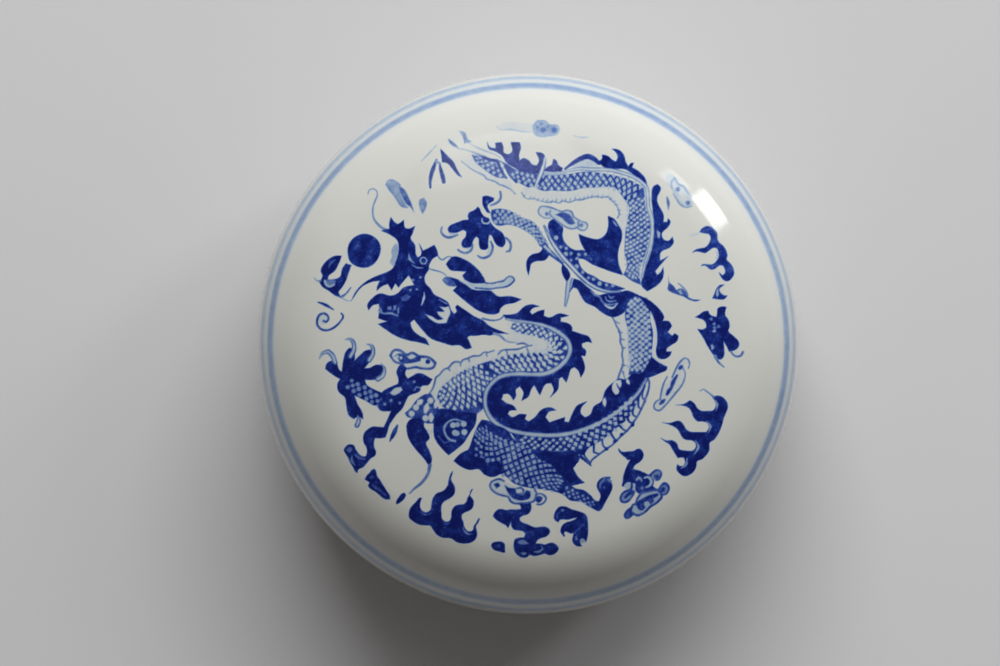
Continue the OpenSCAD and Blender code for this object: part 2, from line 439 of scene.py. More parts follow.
def brush_depth(path, radii=None):
    """How deep the grid points near a path lie in its ink, in mm, and where they are. No radii: an outline."""
    closed = radii is None
    margin = MARGIN + (0 if closed else max(radii))
    low = np.floor((path.min(axis=0) - margin + HALF) / PITCH).astype(int)
    high = np.ceil((path.max(axis=0) + margin + HALF) / PITCH).astype(int) + 1
    low, high = np.maximum(low, 0), np.minimum(high, len(grid_line))
    where = (slice(low[1], high[1]), slice(low[0], high[0]))
    x, y = np.meshgrid(grid_line[where[1]], grid_line[where[0]])
    near = np.full(x.shape, FAR, dtype=np.float32)
    within = np.zeros(x.shape, dtype=bool)
    ends = np.roll(path, -1, axis=0) if closed else path[1:]
    for i, (a, b) in enumerate(zip(path, ends)):
        along = b - a
        t = np.clip(((x - a[0]) * along[0] + (y - a[1]) * along[1]) / max(along @ along, 1e-12), 0, 1)
        gap = np.hypot(x - a[0] - t * along[0], y - a[1] - t * along[1])
        if not closed:
            gap = gap - radii[i] - t * (radii[i + 1] - radii[i])
        elif a[1] != b[1]:
            within ^= ((a[1] > y) != (b[1] > y)) & (x < a[0] + (y - a[1]) * along[0] / along[1])
        np.minimum(near, gap, out=near)
    return np.where(within, near, -near), where


def lay(depth, where, motif, tone):
    """Lays one mark over what is painted already. A mark with no motif only thins or darkens what is there."""
    cover = np.clip((depth + FEATHER) / (2 * FEATHER), 0, 1)
    cover = cover * cover * (3 - 2 * cover)
    cobalt[where] += (tone - cobalt[where]) * cover
    if motif:
        held = depths.setdefault(motif, np.full(cobalt.shape, UNPAINTED, dtype=np.float32))
        held[where] = np.maximum(held[where], depth)


def wash(motif, tone, outlines):
    """Closed areas, parted by a slash, of one tone from 0, bare glaze, to 1, full cobalt."""
    for text in outlines.split("/"):
        lay(*brush_depth(brush_path(text, closed=True)), motif, tone)


def stroke(motif, tone, widths, lines):
    """Brush lines of one tone, parted by a slash. Their width in mm runs through the widths, end to end."""
    for text in lines.split("/"):
        path = brush_path(text, closed=False)
        radii = np.interp(np.linspace(0, 1, len(path)), np.linspace(0, 1, len(widths)), widths) / 2
        lay(*brush_depth(path, radii), motif, tone)


def dots(motif, tone, size, text):
    """Round spots of one size."""
    for pair in text.split():
        stroke(motif, tone, (size, size), pair + " " + ",".join(str(float(v) + 0.01) for v in pair.split(",")))


# The brush repeats one mark in staggered rows along the body: this tree sets them out along a spine.
rows_tree, given = node_group("rows_of_scales", "GeometryNodeTree", {
    "Spine": "Geometry", "Columns": 10, "Rows": 4, "Length": 0.8, "Fill": 0.7, "Sides": 4, "Slant": 0.0,
    "Jitter": 0.08, "Seed": 1, "Finish": "Material"}, {"Marks": "Geometry"})
tree = rows_tree
total = maths(tree, "MULTIPLY", given["Columns"], given["Rows"])
spots = add_node(tree, "GeometryNodeMeshLine", {"Count": total}).outputs[0]
index = add_node(tree, "GeometryNodeInputIndex").outputs[0]
column = maths(tree, "FLOOR", maths(tree, "DIVIDE", maths(tree, "ADD", index, 0.01), given["Rows"]))
row = maths(tree, "SUBTRACT", index, maths(tree, "MULTIPLY", column, given["Rows"]))
odd = maths(tree, "MULTIPLY", maths(tree, "MODULO", row, 2.0), 0.5)
along = maths(tree, "DIVIDE", maths(tree, "ADD", column, odd, 0.25), given["Columns"])
width = add_node(tree, "GeometryNodeInputRadius").outputs[0]
spine = add_node(tree, "GeometryNodeSampleCurve", {"Curves": given["Spine"], "Value": width, "Factor": along},
                 mode="FACTOR").outputs
across = maths(tree, "SUBTRACT", maths(tree, "DIVIDE", maths(tree, "ADD", row, 0.5), given["Rows"]), 0.5)
across = maths(tree, "MULTIPLY", across, 2.0, spine["Value"])
heading = add_node(tree, "ShaderNodeSeparateXYZ", {0: spine["Tangent"]}).outputs
side = add_node(tree, "ShaderNodeCombineXYZ", {0: maths(tree, "MULTIPLY", heading["Y"], -1.0),
                                               1: heading["X"]}).outputs[0]
aside = add_node(tree, "ShaderNodeVectorMath", {0: side, "Scale": across}, operation="SCALE").outputs[0]
low = maths(tree, "MULTIPLY", given["Jitter"], -1.0)
seeds = [maths(tree, "ADD", given["Seed"], offset) for offset in (0.0, 40.0, 80.0)]
shake_x, shake_y, shake_turn = [add_node(tree, "FunctionNodeRandomValue", {
    2: low, 3: given["Jitter"], "ID": index, "Seed": seed}).outputs[1] for seed in seeds]
shake = add_node(tree, "ShaderNodeCombineXYZ", {0: shake_x, 1: shake_y}).outputs[0]
moved = add_node(tree, "ShaderNodeVectorMath", {0: spine["Position"], 1: aside}).outputs[0]
moved = add_node(tree, "ShaderNodeVectorMath", {0: moved, 1: shake}).outputs[0]
placed = add_node(tree, "GeometryNodeSetPosition", {"Geometry": spots, "Position": moved}).outputs[0]
mark = add_node(tree, "GeometryNodeMeshCircle", {"Vertices": given["Sides"], "Radius": 0.5},
                fill_type="NGON").outputs[0]
turn = maths(tree, "ADD", maths(tree, "ARCTAN2", heading["Y"], heading["X"]), given["Slant"], shake_turn)
turn = add_node(tree, "ShaderNodeCombineXYZ", {2: turn}).outputs[0]
row_width = maths(tree, "DIVIDE", maths(tree, "MULTIPLY", spine["Value"], 2.0), given["Rows"])
breadth = maths(tree, "MULTIPLY", row_width, given["Fill"])
size = add_node(tree, "ShaderNodeCombineXYZ", {0: given["Length"], 1: breadth, 2: 1.0}).outputs[0]
marks = add_node(tree, "GeometryNodeInstanceOnPoints", {"Points": placed, "Instance": mark, "Rotation": turn,
                                                        "Scale": size}).outputs[0]
end_geometry(tree, marks, given["Finish"])


def scales(motif, tone, half_widths, spine, **shape):
    """Staggered rows of one mark along a spine, from one side of the body to the other."""
    path = brush_path(spine, closed=False)
    reach = np.interp(np.linspace(0, 1, len(path)), np.linspace(0, 1, len(half_widths)), half_widths)
    drawn = plain_mesh("marks", polyline("spine", path, reach), rows_tree, shape)
    for face in drawn.data.polygons:
        outline = np.array([drawn.data.vertices[i].co[:2] for i in face.vertices])
        lay(*brush_depth(outline), motif, tone)
    bpy.data.objects.remove(drawn)


# Flaming pearl and the curl of flame below it.
wash("flaming_pearl", 0.86, """
    -26.6,17.6 -25.3,17.4 -24.2,16.6 -23.7,15.4 -24,13.9 -25,12.6 -26.2,12.2 -27.6,12.45 -28.6,13.2 -29,14.6
    -28.8,16 -27.9,17.1""")
stroke(None, 1.0, (0.3, 1.1, 0.9, 0.3), "-27,13.2 -26.6,14.4 -26.3,15.4 -26.7,16.6")
wash("flaming_pearl", 0.97, """
    -29.3,12.9 -28.4,12.6 -28.8,11.5 -29.2,10.3 -29.8,9.2 -30.5,8.3 -30,7.4 -30.9,7.7 -32,8.5 -33.1,9.2
    -33.6,9.9 -33.1,10.9 -33.4,11.8 -33,12.7 -32,13.7 -30.9,14.15 -30,14.1 -30.4,13 -31.1,11.7 -32.1,10.9
    -32.2,10.3 -31,10.4 -30.2,10.8 -29.9,12""")
wash(None, 0.45, "-32.8,10.2 -32.7,9.5 -32,9.1 -31.1,9.4 -30.9,10.2 -31.6,10.3 -32.2,10.2")
stroke(None, 0.2, (0.4, 0.3), "-32.7,10.1 -32.5,9.5 -31.9,9.2 -31.2,9.5")
stroke(None, 0.5, (0.2, 0.5, 0.2), "-31,13.5 -31.8,12.9 -32.1,12.1")
stroke("flaming_pearl", 0.4, (0.1, 0.35), "-34.5,10.7 -34.1,10.2 -33.4,10.1")
stroke("flaming_pearl", 0.6, (0.4, 0.2), "-30.1,7.5 -29.3,8 -28.5,9")
stroke("flaming_pearl", 0.3, (0.3, 0.15), "-29.8,7.3 -29.1,6.95 -28.4,6.9")
stroke("pearl_curl", 0.85, (0.15, 0.5, 0.15), "-33.8,6.7 -32.9,6.4 -32.1,6 -31.3,5.5")
wash("pearl_curl", 0.12, "-33.9,4 -33.3,4.8 -32.3,4.6 -32,3.9 -32.4,3.3 -33.3,3")
stroke("pearl_curl", 0.72, (0.25, 0.36, 0.36, 0.36, 0.3), """
    -30,4.9 -29.7,4.4 -30,3.8 -30.6,3.1 -31.4,2.5 -32.4,2.2 -33.3,2.4 -33.9,3.1 -33.9,4 -33.5,4.7 -32.8,4.9
    -32.2,4.5 -32.1,3.9 -32.5,3.5 -32.9,3.7""")

# Head, seen from its left side: crown of spikes, snout, open jaws, beard, cheek and ear.
stroke("head", 0.42, (0.2, 0.25, 0.3, 0.5), """
    -25.8,24.1 -25.6,24.7 -25,24.9 -24.4,24.5 -24.3,23.8 -24.6,23 -24.95,22 -25,21 -24.8,20 -24.2,19.2
    -23.4,18.5 -22.4,18.1""")
wash("head", 0.97, """
    -23.6,18.1 -22.3,18.4 -22.3,19.3 -22.1,20.3 -21.6,19.6 -21,19.15 -20.5,19.4 -20,19.8 -19.8,18.6 -19.3,18.4
    -18.2,18.8 -18.6,17.6 -18.9,16.9 -18.2,15.8 -18,14.2 -17.7,13.8 -17.2,14.2 -17.5,16 -16.9,14.9 -16.2,15.2
    -15.1,15.8 -14.6,14.8 -14.5,14.1 -15.3,13.6 -15.9,12.6 -16,11.8 -16.6,10.8 -16.5,9.7 -15.7,8.8 -15.1,7.9
    -14,7.3 -12.9,6.6 -12.4,5.4 -11.9,4.8 -11.5,5.2 -11.7,5.9 -11.4,6.2 -10.2,5.4 -8.7,4.4 -7.4,3.8 -6.2,2.8
    -4.6,2.1 -3.2,1.6 -5,1.7 -6.1,1.4 -7.3,1.5 -8.6,1.3 -9.5,1.3 -9.8,1 -9.1,-0.6 -10,-0.8 -11,-0.2 -12.3,-0.2
    -14,0.3 -15.6,0.9 -17,2.3 -18.3,3.9 -18.9,3.4 -18.6,2.4 -17.4,1.3 -16.4,0.8 -15.9,-0.2 -17.2,0.2 -19.2,0.6
    -21.2,1.3 -22.8,2.3 -24.1,3.2 -22.6,3.6 -24,4.1 -23.9,5.6 -23.9,6.4 -24.9,6.2 -25.6,5.4 -25.8,6.2
    -24.9,7.4 -23.8,8.05 -22,7.7 -20.9,8.1 -20,9 -18.3,9.4 -18.7,10.2 -19.2,10.95 -20,10 -20.8,9 -21.3,9.7
    -21.9,8.6 -22.5,9.6 -23.3,9.3 -24.3,8.5 -24.2,9.2 -23.8,10.1 -25,9.95 -26.6,9.2 -28.4,6.9 -27.6,8.5
    -26.1,9.9 -24.2,10.9 -22.6,11.5 -21.8,12 -21.2,13.4 -20.8,15 -21,16.5 -21.9,17.3""")
wash("head", 0.28, "-21.6,12.3 -22.2,13 -21.9,14 -22,14.8 -21.6,15.8 -21.1,16.2 -20.8,15 -21.2,13.4")
wash(None, 0.4, """
    -22.6,5.45 -21.9,5.45 -21.9,6.05 -22.6,6.05 / -21.6,5.5 -21.2,5.4 -21.2,6.2 -21.6,6.1 / -21,4.7 -20.6,4.9
    -20.7,5.9 -21,5.6""")
stroke(None, 0.35, (0.3, 0.35, 0.25), "-24,5.3 -23.3,4.9 -22,4.9 -20.9,4.5")
stroke(None, 0.3, (0.25, 0.25), "-23.9,5.9 -23.5,5.3 / -14.3,7.1 -13.1,6.4")
wash(None, 0.55, "-20.5,7.4 -19.6,7.9 -18.8,7.6 -19.4,6.9 -20.2,6.8")
stroke(None, 0.15, (0.2, 0.2), """
    -17.35,13.3 -17.1,13.75 -16.6,13.75 -16.25,13.3 -16.5,12.8 -17.1,12.8 -17.35,13.3""")
stroke(None, 0.3, (0.15, 0.35, 0.15), "-18.6,12.6 -17.9,12.2 -16.9,12.1 / -19.2,14.4 -18.9,13.4 -18.3,12.9")
dots(None, 0.35, 0.4, "-17.3,10.6 -18.5,10.2 -18.9,8.6 -17.9,8.7")
stroke(None, 0.12, (0.1, 0.45, 0.2), "-16.7,8.35 -16.7,7.5 -17.1,6.2")
wash(None, 0.1, """
    -14.3,6 -13.2,5.9 -12.8,6.1 -12.5,5 -12.9,4 -13.1,3.35 -14.6,3.3 -15.7,3.9 -16.6,4.8 -15.4,4.4 -14.4,3.85
    -13.7,4 -14.4,4.6 -14.7,5.15 -13.5,5.2""")
stroke("head", 0.5, (0.2, 0.25, 0.15), """
    -14.5,14 -14.2,13.6 -13.8,13.4 -13.3,13.7 -12.9,13.9 -12.4,13.9 / -15.9,12 -15.3,11.8 -14.5,11.6
    -13.7,11.3 -13.2,10.9""")
stroke("head", 0.35, (0.5, 0.3), "-5.6,1.7 -4.6,1.3 -3.9,0.7 -3,0.3 -2.1,0.3")

# Mane and horns, blown back from the brow.
wash("mane", 0.95, """
    -13.2,12.7 -12.9,13.2 -12.1,13.9 -10.4,13.5 -8.6,12.3 -7.3,10.7 -6.85,9.7 -8.5,9.6 -10.2,10.2 -10.6,10.9
    -10,11.5 -11,11.6 -12.5,11.8""")
wash("mane", 0.55, "-13.9,10.2 -13.3,10.7 -11.5,10.3 -10.2,9.6 -11.4,9.2 -13,9.3")
wash("mane", 0.95, """
    -12.4,10.5 -11.5,10.3 -10.2,9.6 -9,8.7 -7,8.5 -6,8.4 -5,7.6 -3,7.6 -1.2,7.1 -2.2,6.6 -3.9,6.2 -4.6,5.6
    -4.8,5 -6,4.7 -8,5.3 -10,6.7 -12.1,8.5 -11.4,9.2""")
wash("mane", 0.16, """
    -11.2,10.1 -10.2,10.1 -9.2,9.7 -6.9,9.65 -4,10.1 -3.1,10.7 -2.45,10.3 -3,9.4 -4.2,9 -6,8.8 -9,8.9
    -10.2,9.5""")
stroke("mane", 0.62, (0.25, 0.25), """
    -6.9,9.7 -6,9.65 -5,9.85 -4,10.1 -3.6,10.5 -3.1,10.75 -2.5,10.5 -2.35,10.1 -2.8,9.6 -3.4,9.2 -4.2,9
    -5.2,8.9 -6,8.75 -8.5,8.9""")
stroke("mane", 0.6, (0.35, 0.25, 0.2), "-7.4,4.05 -6.2,3.8 -5.2,3.8 -4.4,4.1 -4,4.6")

# Neck, from the mane round the first bend and down to the shoulder.
wash("neck", 0.1, """
    -3.6,3.8 0,3.2 3.4,2.2 5.4,0.8 6.1,-0.8 5.6,-2.6 3.9,-4 1.5,-4.6 -3.2,-4.7 -5.7,-5.9 -7,-8.6 -6.9,-10.6
    -8.4,-11.2 -14,-10.2 -15.9,-7.9 -15,-6 -13.3,-3.9 -11.2,-2.8 -8.5,-1.9 -5.6,-1 -2.8,-0.8 -0.5,-0.8
    0.3,-0.3 -2.2,0.3 -3.8,0.7 -3.2,1.6""")
wash(None, 0.74, """
    -14.4,-7.6 -12.3,-5.4 -10.1,-4 -8.6,-3.4 -6.3,-2.7 -4.2,-2 -1.7,-1.5 0.6,-1.4 2.2,-1.2 2.9,-0.4 2.6,0.5
    1.6,1 0.2,1.4 -1.6,1.8 -2.9,2.5 -2.6,3.3 0,3.2 3,2.5 5,1.4 6.1,-0.3 6,-2.2 4.9,-3.6 2.9,-4.5 -0.2,-4.7
    -3.2,-4.8 -5.3,-5.8 -6.6,-7.4 -6.9,-9.6 -8.3,-11 -11.1,-10.9 -13.2,-10.3 -14.5,-9""")
scales(None, 0.12, (1.3, 2.9, 3.3, 3.1, 2.2), "-14.4,-8.3 -12.3,-7.9 -10.3,-7.1 -8.4,-6 -6.6,-4.5",
       Rows=7, Columns=10, Length=0.66, Fill=1.4, Slant=-0.05, Jitter=0.09, Seed=3)
scales(None, 0.12, (1.8, 1.7, 1.7, 1.8, 1.9, 1.8, 1.6, 1.3, 1.0, 0.9, 0.8),
       "-6,-4 -3.8,-3.3 -1.2,-2.9 1.2,-2.8 3.2,-2.4 4.4,-1.3 4.4,0.1 3.2,1.3 1.2,2 -0.8,2.4 -2.6,2.7",
       Rows=4, Columns=21, Length=0.74, Fill=1.45, Slant=0.3, Jitter=0.09, Seed=6)
stroke("neck", 0.55, (0.22, 0.3, 0.2), """
    -15.9,-7.9 -15.3,-7 -15,-6 -14.8,-5.3 -14.3,-4.9 -13.5,-4 -12.9,-3.8 -12,-2.9 -11.3,-2.8 -10.9,-2.9
    -10.5,-2.5 -9.9,-2.3 -8.9,-1.9 -7.8,-1.8 -7.2,-1.3 -6.5,-1.3 -5.6,-1 / -4.9,-1.6 -4.3,-1 -3.6,-0.9
    -2.8,-0.85 -1.8,-0.8 -0.9,-0.5 0.4,-0.2 / -1.9,0 -0.9,0.1 -0.2,-0.2""")
stroke("neck", 0.5, (0.2, 0.2), """
    -12.9,-3.8 -12.6,-4.2 / -10.9,-2.9 -10.9,-3.4 / -9.7,-2.2 -9.5,-2.7 / -6.8,-1.3 -6.7,-1.9 / -3.6,-0.9
    -3.4,-1.9 / -0.4,-0.6 0.1,-1.8""")

# Back fin of the first bend, with its flame-like teeth inside the loop, and the pale line along the back.
wash("back_fin", 0.96, """
    -4,4.6 -2,4.9 -0.7,6 0.4,6.3 1.6,6 0.5,5.65 0.1,5.1 0.5,4.7 1.4,5.2 2.4,5.45 2.3,4.5 3.1,4.2 4.8,4.85
    6.3,4.5 5,4.2 5,3.6 6.3,3.2 6.8,2.7 6.8,2.1 8.3,1.6 9.4,1.2 10,0.2 9.2,0.35 8.4,0.1 8.4,-0.4 9,-1 8.9,-1.9
    8.2,-1.8 8.7,-2.9 8.8,-4.1 8.2,-5.3 7.8,-4.2 7.2,-3.65 6.6,-4 6.3,-5 5.9,-6.1 5.2,-5.2 4.8,-5.5 4.6,-7.1
    3.3,-8.5 3.9,-7.3 3.5,-6.2 2.7,-6.3 1.7,-8.1 1.3,-7.4 0.8,-6.5 0.3,-7.2 -0.1,-8.3 -1.2,-9 -0.9,-7.6
    -1.5,-6.7 -2.1,-7.2 -2.1,-8.3 -2.5,-8.9 -3.3,-7.9 -4.1,-7.95 -4.4,-8.8 -3.6,-9.35 -2.5,-9.8 -2,-10.5
    -3.1,-10.6 -3.4,-11.1 -2.7,-11.6 -1.5,-11.1 -0.4,-11.2 -0.7,-11.9 -0.1,-12.3 0.8,-11.7 2,-10.4 3.3,-10.05
    4.3,-10.5 3.1,-10.8 2.6,-11.6 3.2,-12.45 4.2,-12.1 5.7,-11.6 5.6,-12.3 6.3,-12.4 6.8,-11.2 7.6,-9.8
    9.2,-9.1 8.3,-10.1 8.2,-11 8.9,-11.65 9.7,-11.2 10.3,-9.9 11.5,-9.1 12.1,-7.4 13.2,-6.2 14.2,-5.5
    16.9,-4.6 18.6,-5.2 17,-7.7 14,-10.5 10,-12.8 6,-14 2,-14.25 -2,-13.75 -4.9,-12.6 -6.5,-10.5 -6.7,-8.2
    -5.4,-6 -3,-5 1.5,-5 4.2,-4.3 6.1,-2.5 6.75,-0.6 5.9,1.2 3.7,2.7 1,3.5 -2,3.9 -3.8,4.15""")
wash(None, 0.06, """
    13.7,-5.8 14.6,-5.7 14.7,-6.5 14.4,-7.1 14.2,-7.9 13.7,-8.1 13.2,-7.4 13.2,-6.5 / 12.1,-8.4 12.3,-9.3
    12.1,-10 11.7,-9.6 11.7,-8.8 / 15.6,-5.4 16,-6 16,-6.5 15.6,-6.3 15.4,-5.8""")
stroke(None, 0.85, (0.25, 0.1), "14.5,-7.3 14.2,-6.9 13.9,-6.3")
BACK_LINE = """
    -3.7,4 -2,3.7 0,3.45 2,3.05 3.6,2.45 5,1.6 6.1,0.6 6.5,-0.6 6.2,-1.9 5.3,-3.1 4,-4.1 2.4,-4.7 0.5,-4.8
    -1.5,-4.7 -3,-4.8 -4.6,-5.2 -5.8,-6.1 -6.7,-7.3 -7,-8.6 -6.9,-10 -6.4,-11.2 -5.5,-12.4 -4.3,-13.2 -3,-13.7
    0,-14.3 4,-14.5 6,-14.3 8,-13.8 10,-13.1 12,-12.1 14,-10.8 15.5,-9.6 17,-8.2 18,-6.9 18.7,-5.6"""
stroke("back_fin", 0.62, (0.3, 0.85, 0.9, 0.9, 0.85, 0.9, 0.9, 0.85, 0.6), BACK_LINE)
stroke("back_fin", 0.2, (0.15, 0.5, 0.55, 0.52, 0.5, 0.55, 0.55, 0.5, 0.25), BACK_LINE)

# Lower body, from the haunch round to the right, with its scales and the broad plates of the belly.
wash("lower_body", 0.88, """
    -2.8,-14.2 0,-14.7 4,-14.9 8,-14.2 12,-12.5 15.5,-10 17.4,-8.2 18.8,-5.6 18.9,-8.2 17.9,-10.4 15.4,-13.4
    12.4,-15.8 9.6,-17.6 8,-17.6 5.5,-17 1,-17 -1.5,-16""")
wash("lower_body", 0.08, """
    19,-5.6 19,-8 18,-10.2 16.2,-13.1 13.2,-16 9.8,-18.9 8.6,-17.9 9.4,-16.6 11.4,-15.4 13.6,-13.6 15.9,-11.6
    17.4,-9 18.4,-6.6""")
scales(None, 0.2, (0.9, 1.0, 1.0, 1.3, 1.5, 1.5, 1.3, 0.9),
       "-1.6,-15.3 1.5,-15.9 5,-16 8.4,-15.3 11,-14.1 13.4,-12.5 15.4,-10.7 17,-8.9",
       Rows=4, Columns=18, Length=0.8, Fill=1.3, Slant=0.3, Jitter=0.1, Seed=8)
stroke(None, 0.85, (0.3, 0.2), """
    18.4,-6.6 18,-8.3 18.5,-9.2 / 17.4,-8.9 17.5,-10.1 17.9,-10.4 / 16.5,-10.4 16.6,-11.3 17.1,-11.6 /
    15.6,-11.6 16,-12.4 16.6,-12.6 / 14.4,-13 15,-13.6 15.6,-13.9 / 13,-14.1 13.5,-15 14,-15.4 / 11.6,-15.2
    11.8,-16.2 12.5,-16.8 / 10.3,-16 10.3,-17.2 11.1,-17.5 / 9,-16.4 8.7,-17.4 9.7,-18.9""")
stroke("lower_body", 0.62, (0.3, 0.34, 0.3), """
    18.9,-5.3 19.15,-6.2 19,-7.3 18.8,-8 18.4,-8.8 18.2,-9.6 17.8,-10.4 17.4,-11.3 16.8,-12.2 16.2,-13.1
    15.6,-13.8 14.8,-14.5 14,-15.3 13.2,-16.1 12.3,-16.7 11.5,-17.3 10.7,-17.9 10,-18.5 9.7,-19.1""")
stroke("lower_body", 0.9, (0.5, 0.35, 0.15), "8.2,-17.9 9,-18.6 9.9,-19.4")
dots(None, 0.8, 0.5, "14.7,-14.4 13.6,-15.5 12.3,-16.7 16.5,-12.9")

# Right body, which rises behind the hip: scales, belly plates and the fin on its outer side.
wash("right_body", 0.08, """
    13.3,4.4 14.2,2.2 14.6,0.3 14.8,-2.6 14.1,-5.3 15.2,-5.6 16.2,-4.8 16.3,0 15.9,4 15.4,5.4""")
wash("right_body", 0.74, """
    15.3,5.4 15.6,6.8 16.6,7.7 18.2,7.4 19.2,6.2 19.3,4 19.7,1.8 19.6,-0.6 19.6,-2 19.9,-3.2 18.6,-4.9
    16.9,-4.6 15.8,-4.9 16.1,-3 15.8,-0.5 15.8,2 15.3,4""")
scales(None, 0.2, (1.6, 1.9, 1.9, 1.9, 1.6), "17.3,7.5 17.3,5 17.5,2 17.6,-1 17.2,-4.4",
       Rows=7, Columns=13, Length=0.68, Fill=1.35, Sides=8, Slant=0.2, Jitter=0.08, Seed=12)
wash("right_body", 0.95, """
    17.2,7.8 18.9,7.1 20.3,6 21.3,4.8 21.5,4.2 21.3,3.7 22.3,3.6 22.75,2.9 22.1,1.9 22.8,1.3 23.2,1.7 23.8,1.3
    23.6,0.5 22.6,-0.2 21.9,-0.8 21.9,-1.2 22.7,-1.2 22.4,-1.9 21.3,-2.4 20.5,-2.1 20.2,-1.2 20.4,0.4 20.3,2.4
    19.8,4 19.1,5.4 18.3,6.6""")
wash("right_body", 0.97, """
    19.5,-2 20.3,-2.7 21.5,-3.4 22,-3.6 21.9,-4.1 20.9,-4.6 20,-5 19,-5.3 17.2,-5 18.2,-4.3 18.8,-3.4
    19.2,-2.6""")
stroke("right_body", 0.1, (0.15, 0.4, 0.5, 0.5, 0.35, 0.25), """
    19.3,5.2 19.7,4 20,2.6 20.1,1.2 20,-0.2 19.8,-1 20,-1.8 20.7,-2.7 21.6,-3.2""")
stroke("right_body", 0.55, (0.2, 0.3, 0.25, 0.3), """
    13.2,4.3 13.6,3.5 13.9,2.8 14.3,2.1 14.5,1.2 14.5,0.3 14.85,-0.7 14.75,-1.7 14.9,-2.6 14.9,-3.3 14.6,-4.1
    14.3,-4.9 14.1,-5.6""")
stroke(None, 0.5, (0.3, 0.15), """
    13.6,3.6 14.3,3.3 / 14.2,2 14.8,1.8 / 14.5,0.8 15.1,0.7 / 14.8,-0.6 15.3,-0.6 / 14.8,-3.3 15.3,-3.4 /
    14.9,-4.4 15.2,-5.4""")

# Raised hind leg: hip, shin with its scales, the long pale bone line, and the hooks at the knee.
wash("raised_leg", 0.82, """
    3.1,19.3 3.9,20 4.6,19.3 5.4,18.5 5.3,17.4 5.5,16.5 6.3,15.5 7.3,14.95 8.8,14.9 10.3,14 11.6,12.9 14.8,11
    12.4,11.8 10.2,12.6 8.6,13.5 7.8,13.6 8,12.7 9,11.4 10.3,10.8 11.4,10.1 13,9.6 15.3,8.8 14.2,8.5 12.3,8.6
    10.9,8.9 9.2,10.1 7.6,11.6 6.1,13 4.7,14.8 3.6,16.8""")
dots(None, 0.3, 0.55, """
    5,15.4 5.9,15.2 6.7,14.4 6.6,13.3 7.6,13.6 7.9,14.2 9,14.3 11,13.2 11.8,12.6 8.5,11.4 9.4,10.5 10.2,10.3
    12.3,9.4 13.3,9.3""")
dots(None, 0.24, 0.75, "4.3,16.9 5.8,14.3 7.5,12.3 11.2,9.6 10.1,13.7")
LEG_RIBBON = """
    2.4,18.8 3,17.5 3.7,16.2 4.5,15 5.4,13.8 6.5,12.6 7.5,11.5 8.4,10.6 9.6,9.6 10.8,8.9 12.4,8.4 14.6,8.3"""
stroke("raised_leg", 0.72, (0.3, 0.8, 0.85, 0.8, 0.7, 0.3), LEG_RIBBON)
stroke("raised_leg", 0.12, (0.1, 0.42, 0.48, 0.42, 0.35, 0.1), LEG_RIBBON)
wash("raised_leg", 0.72, """
    -6,21.4 -4.6,21.55 -2.8,21.1 -1.6,20.3 0.8,19.3 1.8,17.8 2.9,16 3,15.3 1.8,15.5 1.1,16.7 0.2,17.5
    -1.3,18.4 -3.2,19 -5.2,18.9 -6,20""")
scales(None, 0.25, (1.1, 1.1, 0.95, 0.9, 0.8, 0.6),
       "-5.6,20.2 -3.6,20.3 -1.8,19.6 0.2,18.6 1.4,17.4 2.4,15.8",
       Rows=4, Columns=12, Length=0.66, Fill=1.25, Sides=8, Slant=0.4, Jitter=0.08, Seed=5)
stroke("raised_leg", 0.72, (0.9, 0.8, 0.3), "2.4,15.6 3.3,14.6 4.3,13.7 5.3,12.8")
stroke("raised_leg", 0.2, (0.4, 0.35, 0.1), "2.5,15.5 3.3,14.7 4.3,13.8")
wash("raised_leg", 0.93, """
    2.2,15.3 3.2,14.2 2.6,13.4 0.9,13.1 0.3,12.7 0.1,11.9 -0.1,10.9 -0.4,12 -0.3,13.4 0.4,14.2 1.7,14.6 /
    5.3,12.8 6.3,11.6 6.5,10.8 6,9.8 5.3,11.1 5.15,12""")
wash("raised_leg", 0.14, "6,9.9 6.7,10.6 6.4,8.6 6.2,7.2 5.6,5.9 5.8,8")
stroke("raised_leg", 0.45, (0.25, 0.25, 0.2), """
    6,10 5.9,9.2 5.8,8 5.6,6.1 / 6.8,10.4 6.5,9.2 6.3,7.8 5.8,5.95""")
wash("raised_leg", 0.95, """
    7.1,10.4 8,10.1 9.1,9.2 10,8.5 10.8,7.8 12.2,8 14.3,8.2 15.6,8.5 17.4,7.8 16.2,7.2 15.5,6.2 15.2,5.2
    14.4,4.6 13.2,4.3 11.6,5 10.4,5.95 9,6.6 8.2,7.7 7.6,8.8 7,9 6.4,8.2 6.8,9.4""")
stroke(None, 0.42, (0.2, 0.4, 0.35, 0.3), "9.8,8.4 10.5,7.8 11.2,7.5 11.6,6.8 12.3,6.3 13.3,6.3 14,6.5")
stroke(None, 0.12, (0.2, 0.5, 0.2), "12,6.2 12.7,5.8 13.4,5.8 13.9,6.3")
stroke(None, 0.3, (0.2, 0.3, 0.2), "12.1,7.5 12.3,7 12.9,6.75 13.8,6.9 / 12.6,7.7 13,7.3 13.4,7.5")

